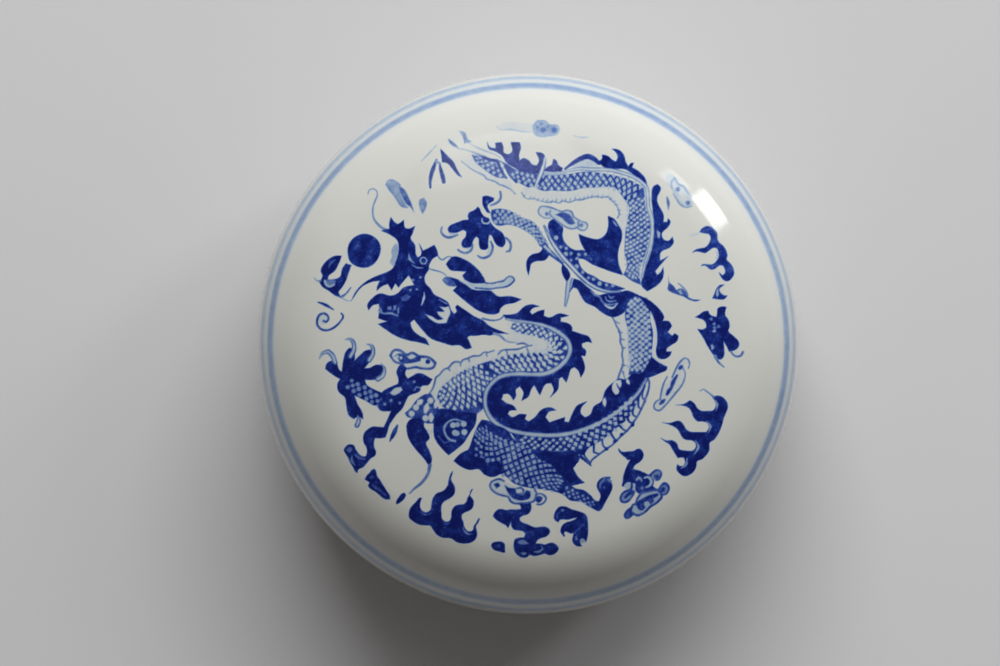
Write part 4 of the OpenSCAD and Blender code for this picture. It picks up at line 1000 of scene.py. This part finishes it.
wash(None, 0.4, """
    -1.9,-31.7 -1.3,-31.3 -0.5,-31.45 0.1,-32 -0.6,-32.1 -1.4,-32.05 / -1.4,-33.5 -0.9,-33.3 -0.3,-33.5
    -0.6,-33.8 -1.1,-33.8""")
stroke(None, 0.4, (0.2, 0.4, 0.3), "2,-32.3 2.2,-32.8 1.7,-33.2 0.9,-33.3")
wash(None, 0.8, "2.8,-32.8 3.2,-32.3 3.9,-32.4 4,-33 3.3,-33.3")
wash("bottom_clouds", 0.14, """
    -4.3,-21.7 -5.3,-21.6 -6.1,-22.1 -6.2,-22.7 -5.2,-23.8 -4.2,-24.1 -3.3,-24.3 -3,-25 -2.2,-25.4 -0.4,-25.3
    1.1,-24.9 1.3,-23.8 0.6,-23.2 -1,-23 -2.6,-22.4""")
stroke("bottom_clouds", 0.6, (0.3, 0.34, 0.3), """
    -4,-21.8 -4.7,-21.5 -5.3,-21.6 -6.1,-22.1 -6.2,-22.8 -5.2,-23.8 -4.2,-24.15 -3.3,-24.4 -3,-25 -2.4,-25.4
    -1.2,-25.4 -0.2,-25.3 0.7,-25.1 1.1,-24.6 / -1.9,-23 -1.3,-22.85 -0.9,-23.3 -1,-23.8 -1.7,-23.9 /
    0.9,-23.2 1.2,-23.8 1,-24.6""")
wash("bottom_clouds", 0.85, """
    -3.9,-22.5 -3.2,-22.9 -2.2,-23 -1.9,-23.8 -1,-24 -0.4,-23.3 0.2,-23.5 0.1,-24.5 -0.8,-24.9 -2,-24.8
    -2.8,-24.4 -3.4,-23.6 / -5.6,-22.3 -4.9,-22.1 -4.6,-22.6 -5.2,-23""")
stroke("bottom_clouds", 0.6, (0.3, 0.35, 0.3), """
    1.1,-24.1 1.65,-23.85 2.3,-24.05 2.7,-24.6 2.45,-25.2 1.8,-25.6 1.3,-25.55""")
wash("bottom_clouds", 0.75, "1.1,-24.9 1.2,-24.4 1.7,-24.2 2.2,-24.5 2,-25 1.6,-25.3 1.1,-25.1")
wash("bottom_flames", 0.97, """
    5.45,-25.9 4.95,-25.95 4.4,-26.4 4.1,-27.05 4,-27.75 4.3,-28.25 4.75,-28.45 4.9,-28.1 5.45,-28 6.25,-28.05
    7,-27.85 7.7,-27.7 7.3,-28.05 6.65,-28.3 6,-28.5 5.45,-28.85 5.15,-29.4 5.05,-30 5.35,-30.5 5.6,-30.8
    5.8,-30.7 5.6,-30.25 5.8,-29.95 6.25,-30.1 6.65,-30.3 7.15,-30.25 7.05,-30.75 6.95,-31.4 7.2,-32 7.8,-32.4
    8.5,-32.4 8.3,-32 8.2,-31.4 8.5,-31.1 8.9,-31.3 9.1,-31.8 9.35,-31 9.45,-30.2 9.45,-29.3 9.4,-28.4
    9.25,-27.6 8.9,-27.1 8.3,-26.85 7.3,-26.55 6.65,-26.35 6,-26""")
wash(None, 0.3, "8.3,-31.9 8.2,-31.3 8.6,-31.1 9,-31.5 8.8,-31.9")
wash(None, 0.5, "4.9,-26.5 5.3,-26.2 5.8,-26.5 5.4,-26.8 / 7.4,-31.4 7.3,-30.8 7.7,-30.5 7.8,-31.3")
stroke(None, 0.7, (0.2, 0.5, 0.2), """
    4.5,-28 4.5,-27.2 5,-26.8 / 7.5,-29.9 8.1,-29.4 8.8,-28.8 / 5.6,-29.6 6,-29 6.8,-28.7""")

# Fire and clouds at the lower right.
wash("right_cloud", 0.97, """
    14.2,-16.6 14.4,-16.8 14.7,-17.1 15.1,-17.2 15.95,-17.1 16.7,-17.05 17.1,-16.8 17.55,-16.7 18,-17
    18.25,-17.6 18.1,-18.3 17.6,-18.85 17.05,-19.2 16.7,-19.6 16.7,-19.95 17.2,-20.1 17.9,-20.3
    18.5,-20.75 18,-22.3 17,-22.3 16.35,-22.1 15.8,-22.1 15.3,-22.4 15.05,-22.8 14.8,-22.6 14.95,-21.95
    15.05,-21.1 15.3,-20.25 15.6,-19.5 15.85,-18.95 16.2,-18.4 15.7,-18.45 15.4,-18.1 15,-17.85
    14.65,-17.5 14.35,-17.15""")
wash("right_cloud", 0.22, "15.1,-22.8 15.5,-22.2 16.2,-22.2 17,-22.4 17,-23.4 16.3,-23.5 15.6,-23.2")
stroke("right_cloud", 0.8, (0.3, 0.35), "16.4,-22.2 16.4,-22.9 16.1,-23.4")
wash("right_cloud", 0.86, """
    18.2,-20.5 19,-20.85 19.5,-20.9 19.9,-21.5 19.95,-22.2 19.8,-22.7 20.3,-23.1 20.9,-23.3 20.8,-23.6
    19.8,-23.5 18.9,-23.7 17.8,-24 17.1,-23.5 17,-22.6 17.1,-21.6 17.6,-20.8""")
stroke(None, 0.22, (0.3, 0.5, 0.5, 0.3), "18.4,-21.4 19,-21.25 19.4,-21.6 19.55,-22.1 19.3,-22.6 18.7,-22.9")
stroke(None, 0.32, (0.3, 0.48, 0.25), "17.15,-21.7 17.45,-21.35 17.85,-21.5 18,-21.9")
dots(None, 0.5, 0.5, "18.1,-23")
wash("right_cloud", 0.4, """
    19.5,-20.8 19.85,-20.4 20.35,-20.15 20.9,-20.25 21.15,-20.6 21.05,-21.2 20.7,-21.7 20.3,-21.75
    19.8,-21.6""")
stroke("right_cloud", 0.72, (0.35, 0.3, 0.25), """
    19.4,-20.9 19.85,-20.45 20.35,-20.15 20.9,-20.25 21.15,-20.6 21.05,-21.2 20.7,-21.7 20.3,-21.75""")
wash(None, 0.75, "20,-20.9 20.5,-20.9 20.8,-21.2 20.5,-21.5 20,-21.4")
wash("right_cloud", 0.4, """
    20.9,-23.05 21.2,-22.6 21.65,-22.25 22.1,-22.45 22.4,-22.95 22.3,-23.6 21.9,-24.05 21.4,-24.1 21,-23.7""")
stroke("right_cloud", 0.72, (0.3, 0.33, 0.25, 0.2), """
    20.8,-23.2 21.2,-22.6 21.65,-22.25 22.1,-22.45 22.4,-22.95 22.3,-23.6 21.9,-24.05 21.4,-24.15""")
wash(None, 0.76, "21.1,-23.2 21.5,-22.9 21.8,-23.1 21.6,-23.6 21.1,-23.7")
CURL_EDGE = "15.8,-23.4 15.1,-23.7 14.75,-24.15 14.6,-24.7 14.85,-25.2 15.3,-25.3 15.85,-25.1 16.3,-24.6"
wash("right_cloud", 0.36, "16.5,-23.7 16.3,-23.4 " + CURL_EDGE + " 16.65,-24.05")
stroke("right_cloud", 0.7, (0.34, 0.3, 0.34),
       "16.7,-23.6 16.3,-23.35 " + CURL_EDGE + " 16.65,-24.05 16.8,-23.6")
stroke("right_cloud", 0.76, (0.3, 0.5, 0.6), "15.4,-24.5 15.8,-24.1 16.4,-23.7")
wash("right_cloud", 0.25, """
    17.6,-24.2 17.25,-24.9 17.1,-25.5 16.5,-25.8 16.4,-26.4 16.8,-27.1 17.45,-27.45 18.1,-27.2 18.65,-26.85
    19.1,-26.4 19.5,-26 20.35,-25.45 20.9,-25 21.25,-24.45 21.15,-24 20.7,-23.4 20.05,-23.3 19.1,-23.5
    17.9,-23.9""")
stroke("right_cloud", 0.68, (0.35, 0.36, 0.36, 0.4), """
    17.8,-24 17.3,-24.8 17.1,-25.6 / 17.8,-23.9 19.1,-23.5 20.05,-23.35 20.7,-23.45 21.15,-24 21.25,-24.5
    20.9,-25 20.35,-25.5 19.5,-26 19.1,-26.4 18.65,-26.85 18.1,-27.2 17.45,-27.45 16.8,-27.2 / 17.1,-25.55
    16.6,-25.75 16.4,-26.2""")
stroke(None, 0.86, (0.7, 0.75, 0.4), "18.5,-24.9 19.2,-24.6 20,-24.3 20.5,-24.1")
wash(None, 0.92, """
    17.2,-25.6 17.5,-25.1 18.2,-24.7 18.9,-24.7 18.5,-25.2 18.4,-25.8 18.6,-26.1 18.2,-26.6 17.65,-26.5
    17.35,-26.1""")
wash(None, 0.7, "19,-24.9 19.9,-24.7 20,-25.2 19.5,-25.6 19.2,-25.3")
wash("right_cloud", 0.74, """
    16.5,-26 15.9,-26.3 15.4,-26.8 15.15,-27.4 15.3,-27.85 15.8,-28.05 16.3,-27.8 16.7,-27.4 16.9,-27.1
    16.5,-26.7""")
wash(None, 0.6, "15.6,-27 16.1,-26.8 16,-27.5 15.6,-27.7")
wash("right_flames", 0.95, """
    29.3,-8.4 30.5,-8.3 31.4,-8.9 31.85,-9.9 31.2,-11.9 30.7,-13.6 29.7,-15.3 28.95,-15.8 28.9,-17 27.8,-18.4
    26.9,-18.8 26.8,-19.6 26.4,-20.4 25.7,-20.95 24.9,-21.15 24.1,-20.7 23.6,-20 23.7,-19.2 24.1,-19.5
    24.7,-19.5 25,-18.9 24.8,-18.2 24.3,-18.1 23.8,-18.2 23.4,-17.6 22.9,-16.8 22.4,-16 21.9,-15.7 21,-15
    21.9,-15.4 22.9,-15.4 23.6,-15.9 24,-16.8 24.7,-17 25.6,-17.1 26.3,-17 26.7,-16.4 26.6,-15.8 26,-15.4
    25.2,-15.3 24.7,-15.1 24.2,-14.4 23.8,-13.7 23,-13.1 22.2,-12.8 21.2,-12.5 22.4,-12.6 24,-12.3 24.6,-12.8
    25.1,-13.6 25.7,-14 27,-14.1 28.4,-14.1 28.8,-13.3 28.6,-12.7 28,-12.4 26.9,-12.3 26.3,-11.7 25.9,-10.7
    25.5,-10.2 24.5,-9.8 23.4,-9.7 24.6,-9.6 25.7,-9 26.4,-9.5 26.9,-10.3 27.6,-10.7 28.6,-10.7 29.5,-10.6
    29.9,-9.6""")
stroke(None, 0.35, (0.15, 0.5, 0.15), """
    29.6,-8.8 30.1,-9.7 29.9,-10.7 / 28.4,-12.3 29,-13.2 28.7,-14.2 / 26.6,-15.4 27.1,-16.4 26.5,-17.6 /
    25.3,-18.3 25.1,-19.3 24.3,-19.9""")
stroke("right_flames", 0.4, (0.15, 0.25, 0.35), "27.3,-7.5 27.9,-7.2 28.7,-7.8 29.6,-8.5")

# Streak of cloud by the fin, the claw beyond it, and the fire that climbs up the right side.
wash("right_streak", 0.1, """
    25.5,-3 24.8,-2.2 23.7,-3.4 22.8,-5.3 21.6,-6.7 20.9,-8.6 19.9,-9.7 20.7,-10.6 22.5,-8.9 24,-7.3 24.8,-5.6
    24.7,-4""")
stroke("right_streak", 0.5, (0.2, 0.32, 0.25), """
    25.4,-3.9 25.6,-3.2 25.4,-2.5 24.8,-2.2 24.2,-2.7 23.7,-3.4 22.8,-5.3 / 24.5,-3.7 24.9,-4.6 24.8,-5.6
    24.3,-6.7 23.4,-7.8 22.5,-8.9 21.6,-9.9 20.7,-10.6 20,-10.3 19.9,-9.7 20.3,-9.1 20.9,-8.8 / 22,-5.2
    21.4,-6.4 21.1,-7.5 20.9,-8.6""")
stroke("right_streak", 0.7, (0.3, 0.65, 0.4), """
    23.6,-5 23,-6 22.6,-7.2 / 24.4,-3.5 24,-3.9 / 22.5,-7 22,-8 / 21.6,-8.9 20.9,-9.5""")
wash("right_claw", 0.95, """
    26.5,4.3 27.1,4.6 27.9,5.2 28.6,5.3 28.9,4.7 30,4.3 30.1,5 30.2,5.7 31,6 31.6,5.9 31.4,5.2 31.4,4.6
    31.9,3.9 32.1,2.8 31.9,2.1 32.7,1.3 33.5,0.5 33.7,-0.1 33.3,-0.8 32.6,-1.1 32,-1.2 31.7,-0.5 31.1,0.5
    31.2,-0.6 31.2,-1.8 30.8,-2.4 30.2,-2.4 29.6,-1.9 28.9,-0.9 28.4,-0.1 28,0.7 27.5,1.5 26.9,2.4 27.6,2.3
    28.3,2.6 28.3,3.2 27.9,3.8 27.2,4.1""")
wash(None, 0.3, "29,-0.2 29.3,0 29.6,-0.5 29.4,-1 29.1,-0.9 / 29.2,2.1 29.8,2.4 29.9,1.9 29.4,1.8")
dots(None, 0.45, 0.55, "29.6,3.2 30.3,2.8 29.1,4 29.7,2.6")
stroke("right_claw", 0.5, (0.3, 0.35, 0.45), "32.3,-1.2 32.8,-1.8 33.4,-2 34,-1.8 34.3,-1.3")
stroke("right_claw", 0.12, (0.2, 0.4), "32.7,-1.2 33.4,-1.4")
stroke("right_claw", 0.5, (0.6, 0.35, 0.2), "29.8,-2 30.3,-2.9 31.2,-3.7")
wash("right_fire", 0.8, """
    27.3,17.9 27.6,18.4 28.35,18.85 29,18.85 29.7,18.45 30.2,17.8 30.25,16.9 30.5,16.3 31.2,15.7
    31.7,14.9 31.85,14.15 31.7,13.55 32.3,12.95 32.8,12.15 32.9,11.2 32.4,10.4 31.7,10.05 31,10.4
    30.6,11 30.4,11.5 31,11 31.4,11.4 31.3,12.2 30.9,12.6 30.4,12.5 29.7,12 29.1,11.9 28.6,12.25
    28.1,12.55 27.5,12.45 27.8,12.75 28.5,12.75 29.3,12.75 29.9,13.15 30.3,13.75 30.4,14.5 30.1,15.3
    29.5,15.4 28.9,15 28.2,14.55 27.5,14.7 26.7,14.8 26.1,14.6 26.5,15 27.3,15.3 28.1,15.4 28.6,15.8
    29,16.5 29.1,17.2 28.8,17.6 28.2,17.7""")
stroke("right_fire", 0.2, (0.2, 0.4, 0.2), "29.9,15 30.2,14.4 30,13.6")
stroke("right_fire", 0.12, (0.2, 0.5, 0.2), "25.7,17.4 26.6,17.5 27.3,17.8")
wash("right_fire", 0.8, """
    31.3,9.5 30.5,9.4 29.95,8.8 29.65,8.05 29.3,7.3 30.3,7.15 31.3,7.2 31.8,7.75 31.1,7.85 30.6,8.3 30.5,8.8
    30.9,9.2""")
wash(None, 0.25, "30.1,8.8 30.3,8.9 30.3,8 30.1,7.4 29.9,8")


def lid_surface(x, y):
    """Height and outward direction of the lid's glaze over points of its plan, in metres."""
    reach = np.maximum(np.hypot(x, y), 1e-9)
    on_dome = reach < LID_DOME * math.sin(DOME_EDGE)
    out = np.where(on_dome, reach, reach - SHOULDER_X)
    radius = np.where(on_dome, LID_DOME, LID_SHOULDER)
    rise = np.sqrt(np.maximum(radius**2 - out**2, 0))
    height = np.where(on_dome, DOME_Z, SHOULDER_Z) + rise
    return height, np.stack([out / radius * x / reach, out / radius * y / reach, rise / radius], axis=1)


def film(name, fill, rise):
    """A closed film over the grid points where fill is above 0. Its rim follows fill's zero line."""
    rows, columns = np.nonzero(fill > 0)
    top_row, left = rows.min() - 1, columns.min() - 1
    part = (slice(top_row, rows.max() + 2), slice(left, columns.max() + 2))
    fill, tone = fill[part], cobalt[part]
    inside = fill > 0
    number = np.cumsum(inside).reshape(inside.shape) - 1
    rows, columns = np.nonzero(inside)
    inner = len(rows)
    spots = [(columns + left) * PITCH - HALF, (rows + top_row) * PITCH - HALF, tone[inside]]
    corners = inside[:-1, :-1].astype(int) + inside[:-1, 1:] + inside[1:, 1:] + inside[1:, :-1]
    r, c = np.nonzero(corners == 4)
    faces = np.stack([number[r, c], number[r, c + 1], number[r + 1, c + 1], number[r + 1, c]], axis=1).tolist()
    rim, rim_spots = {}, []
    for r, c in zip(*np.nonzero((corners > 0) & (corners < 4))):
        ring = ((r, c), (r, c + 1), (r + 1, c + 1), (r + 1, c))
        face = []
        for a, b in zip(ring, ring[1:] + ring[:1]):
            if inside[a]:
                face.append(int(number[a]))
            if inside[a] == inside[b]:
                continue
            near, far = min(a, b), max(a, b)
            if (near, far) not in rim:
                rim[near, far] = inner + len(rim)
                t = min(max(fill[near] / (fill[near] - fill[far]), RIM_NEAREST), RIM_FARTHEST)
                rim_spots.append(((near[1] + t * (far[1] - near[1]) + left) * PITCH - HALF,
                                  (near[0] + t * (far[0] - near[0]) + top_row) * PITCH - HALF,
                                  tone[near] + t * (tone[far] - tone[near])))
            face.append(rim[near, far])
        faces.append(face)
    edge = np.array(rim_spots, dtype=np.float64).T
    x, y, ink = (np.concatenate([a, b]) for a, b in zip(spots, edge))
    height, normal = lid_surface(x * MM, y * MM)
    total = len(x)
    surface = np.stack([x * MM, y * MM, height], axis=1)
    lift = np.full(total, rise)
    lift[inner:] = -RIM_SINK
    top, under = surface + normal * lift[:, None], surface[:inner] - normal[:inner] * FILM_SINK
    below = [[(i + total if i < inner else i) for i in reversed(face)] for face in faces]
    mesh = bpy.data.meshes.new(name)
    mesh.from_pydata(np.concatenate([top, under]).tolist(), [], faces + below)
    mesh.polygons.foreach_set("use_smooth", [True] * len(mesh.polygons))
    inked = mesh.attributes.new("cobalt", "FLOAT", "POINT")
    inked.data.foreach_set("value", np.concatenate([ink, ink[:inner]]))
    mesh.normals_split_custom_set_from_vertices(np.concatenate([normal, -normal[:inner]]).tolist())
    return put(name, mesh)


# Where two films meet, each one stops a hair past the line where the other's ink lies deeper than its own.
painted_glaze = porcelain("cobalt_painting", attribute="cobalt")
bleed = np.clip(1 + np.maximum.reduce(list(depths.values())) / BLEED_REACH, 0, 1)
cobalt = np.maximum(cobalt, BLEED_TONE * bleed**2)
for rank, (name, depth) in enumerate(depths.items()):
    others = [other - TIE_BREAK * i for i, other in enumerate(depths.values()) if i != rank]
    lead = depth - TIE_BREAK * rank - np.maximum.reduce(others)
    motif_film = film(name, np.minimum(depth + FILM_EDGE, lead + OVERLAP), FILM_RISE + rank * RISE_STEP)
    motif_film.data.materials.append(painted_glaze)
    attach(motif_film, "lid")


# Base. The bowl that holds the paste, turned in one with its foot ring, its seat and the thin collar that
# keeps the lid in place. Glazed inside and out, but for the seat, the collar's outside and the foot's
# lower face, which stood on the kiln shelf. Two cobalt lines run round it below the seam.
COLLAR_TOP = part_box("base")[1].z
BASE_SKIRT, BASE_WALL, COLLAR_WALL = 3 * MM, 4.2 * MM, 1.8 * MM
FOOT_RADIUS, FOOT_WIDTH, FOOT_HEIGHT, FOOT_ROUND = 30.5 * MM, 3.4 * MM, 2 * MM, 0.8 * MM
BASE_SHOULDER_Z = SEAM - BASE_SKIRT
BASE_SHOULDER = BASE_SHOULDER_Z - FOOT_HEIGHT
BASE_X = BODY_RADIUS - BASE_SHOULDER
WELL_RADIUS, WELL_FLOOR, WELL_INSET = BODY_RADIUS - BASE_WALL, FOOT_HEIGHT + BASE_WALL, 0.5 * MM
COLLAR_RADIUS, COLLAR_TIP = WELL_RADIUS + COLLAR_WALL, COLLAR_WALL / 2
SEAT_FILLET, SEAT_FILLET_RISE = 0.15 * MM, 0.2 * MM
FOOT_INNER = FOOT_RADIUS - FOOT_WIDTH
UPPER_RING, LOWER_RING = (SEAM - 2.2 * MM, 0.8 * MM, 0.30), (SEAM - 4.6 * MM, 1.1 * MM, 0.42)
WIPED_SEAT = (SEAM - 0.15 * MM, COLLAR_TOP - 1.2 * MM, WELL_RADIUS + 1.2 * MM, 1)
WIPED_FOOT = (-MM, 0.35 * MM, 0, 1)


def straight(x0, z0, x1, z1, step=3 * MM):
    """Points along a straight stretch of a profile."""
    count = max(1, round(math.hypot(x1 - x0, z1 - z0) / step))
    return [(x0 + (x1 - x0) * i / count, z0 + (z1 - z0) * i / count) for i in range(count + 1)]


base_profile = (
    straight(0, WELL_FLOOR, BASE_X - WELL_INSET, WELL_FLOOR)
    + arc(BASE_X, BASE_SHOULDER_Z, BASE_SHOULDER - BASE_WALL, 2 * RIGHT, RIGHT, step=0.8 * MM)
    + arc(WELL_RADIUS + COLLAR_TIP, COLLAR_TOP - COLLAR_TIP, COLLAR_TIP, -RIGHT, RIGHT, step=0.2 * MM)
    + [(COLLAR_RADIUS, SEAM + SEAT_FILLET_RISE), (COLLAR_RADIUS + SEAT_FILLET, SEAM)]
    + arc(BODY_RADIUS - SEAM_ROUND, SEAM - SEAM_ROUND, SEAM_ROUND, 0, RIGHT, step=0.15 * MM)
    + arc(BASE_X, BASE_SHOULDER_Z, BASE_SHOULDER, RIGHT, 2 * RIGHT, step=0.6 * MM)
    + arc(FOOT_RADIUS - FOOT_ROUND, FOOT_ROUND, FOOT_ROUND, RIGHT, 2 * RIGHT, step=0.2 * MM)
    + arc(FOOT_INNER + FOOT_ROUND, FOOT_ROUND, FOOT_ROUND, 2 * RIGHT, 3 * RIGHT, step=0.2 * MM)
    + straight(FOOT_INNER, FOOT_HEIGHT, 0, FOOT_HEIGHT)
)
base_glaze = porcelain("base_glaze", lines=(UPPER_RING, LOWER_RING), bare=(WIPED_SEAT, WIPED_FOOT))
base_shell = turned("base_shell", base_profile, base_glaze)
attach(base_shell, "base")
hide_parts("base")


# Seal paste. Cinnabar powder kneaded with castor oil and moxa fibre into a stiff red dough. It is pressed
# into the well by hand, and the bone spatula that stirs it leaves a low swirl on its oily top.
PASTE_SIDE, PASTE_DOME = 4.5 * MM, 200 * MM
PASTE_X, PASTE_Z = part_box("seal_paste")[1].x - PASTE_SIDE, WELL_FLOOR + PASTE_SIDE
PASTE_RISE = math.sqrt((PASTE_DOME - PASTE_SIDE) ** 2 - PASTE_X ** 2)
PASTE_EDGE = math.asin(PASTE_X / (PASTE_DOME - PASTE_SIDE))
PASTE_RED, PASTE_BRIGHT, PASTE_DARK = (0.40, 0.018, 0.010, 1), (0.62, 0.045, 0.018, 1), (0.26, 0.008, 0.006, 1)
PASTE_RELIEF, PASTE_BUMP, OILY, DRY, DARK_GRAINS, FIBRE_RELIEF = 0.12 * MM, 0.6, 0.24, 0.48, 0.35, 0.8
SWIRL_BEND, LUMP_MIDDLE = 5.0, 0.58
paste_profile = (
    arc(0, PASTE_Z - PASTE_RISE, PASTE_DOME, 0, PASTE_EDGE, step=0.55 * MM)
    + arc(PASTE_X, PASTE_Z, PASTE_SIDE, PASTE_EDGE, 2 * RIGHT, step=0.5 * MM)
    + straight(PASTE_X, WELL_FLOOR, 0, WELL_FLOOR)[1:]
)

# Pushes the turned lump in and out along its normals. It stays as it is at its floor and in its middle.
kneading, given = node_group("kneaded_lump", "GeometryNodeTree", {
    "Lump": "Geometry", "Swirl Depth": 0.28 * MM, "Swirl Pitch": 6.0 * MM, "Lump Depth": 0.9 * MM,
    "Floor": WELL_FLOOR, "Seed": 7.0, "Finish": "Material"}, {"Paste": "Geometry"})
tree = kneading
place = add_node(tree, "GeometryNodeInputPosition").outputs[0]
split = add_node(tree, "ShaderNodeSeparateXYZ", {0: place}).outputs
turn = maths(tree, "ARCTAN2", split["Y"], split["X"])
reach = from_axis(tree, place)
lumps = add_node(tree, "ShaderNodeTexNoise", {"Vector": place, "W": given["Seed"], "Scale": 75.0,
                                              "Detail": 3.0}, noise_dimensions="4D").outputs["Fac"]
rings = maths(tree, "MULTIPLY", maths(tree, "DIVIDE", reach, given["Swirl Pitch"]), math.tau)
bent = maths(tree, "ADD", rings, turn, maths(tree, "MULTIPLY", lumps, SWIRL_BEND))
swirl = maths(tree, "MULTIPLY", maths(tree, "SINE", bent), given["Swirl Depth"])
uneven = maths(tree, "MULTIPLY", maths(tree, "SUBTRACT", lumps, LUMP_MIDDLE), given["Lump Depth"])
above_floor = spread(tree, maths(tree, "SUBTRACT", split["Z"], given["Floor"]), 1.0 * MM, 6.0 * MM)
off_middle = spread(tree, reach, 1.0 * MM, 5.0 * MM)
push = maths(tree, "MULTIPLY", maths(tree, "ADD", swirl, uneven), above_floor, off_middle)
normal = add_node(tree, "GeometryNodeInputNormal").outputs[0]
offset = add_node(tree, "ShaderNodeVectorMath", {0: normal, "Scale": push}, operation="SCALE").outputs[0]
moved = add_node(tree, "GeometryNodeSetPosition", {"Geometry": given["Lump"], "Offset": offset}).outputs[0]
end_geometry(tree, moved, given["Finish"])

paste_red, tree, surface, place = new_material("cinnabar_paste")
grain, patches = noise(tree, place, scale=1400.0, detail=4.0), noise(tree, place, scale=110.0, detail=3.0)
fibres = add_node(tree, "ShaderNodeTexWave", {"Vector": place, "Scale": 160.0, "Distortion": 14.0,
                                              "Detail": 3.0, "Detail Scale": 2.0}).outputs["Fac"]
red = blended(tree, patches, PASTE_RED, PASTE_BRIGHT)
red = blended(tree, maths(tree, "MULTIPLY", grain, DARK_GRAINS), red, PASTE_DARK)
oil = spread(tree, patches, 0.38, 0.62, to_low=DRY, to_high=OILY)
relief = maths(tree, "ADD", grain, maths(tree, "MULTIPLY", fibres, FIBRE_RELIEF))
feed(tree, surface, {"Base Color": red, "Roughness": oil,
                     "Normal": bumped(tree, relief, PASTE_BUMP, PASTE_RELIEF)})
lump = turned("paste_lump", paste_profile, paste_red, segments=260)
paste_mound = plain_mesh("paste_mound", lump.data, kneading, {"Finish": paste_red})
bpy.data.objects.remove(lump)
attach(paste_mound, "base")
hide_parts("seal_paste")
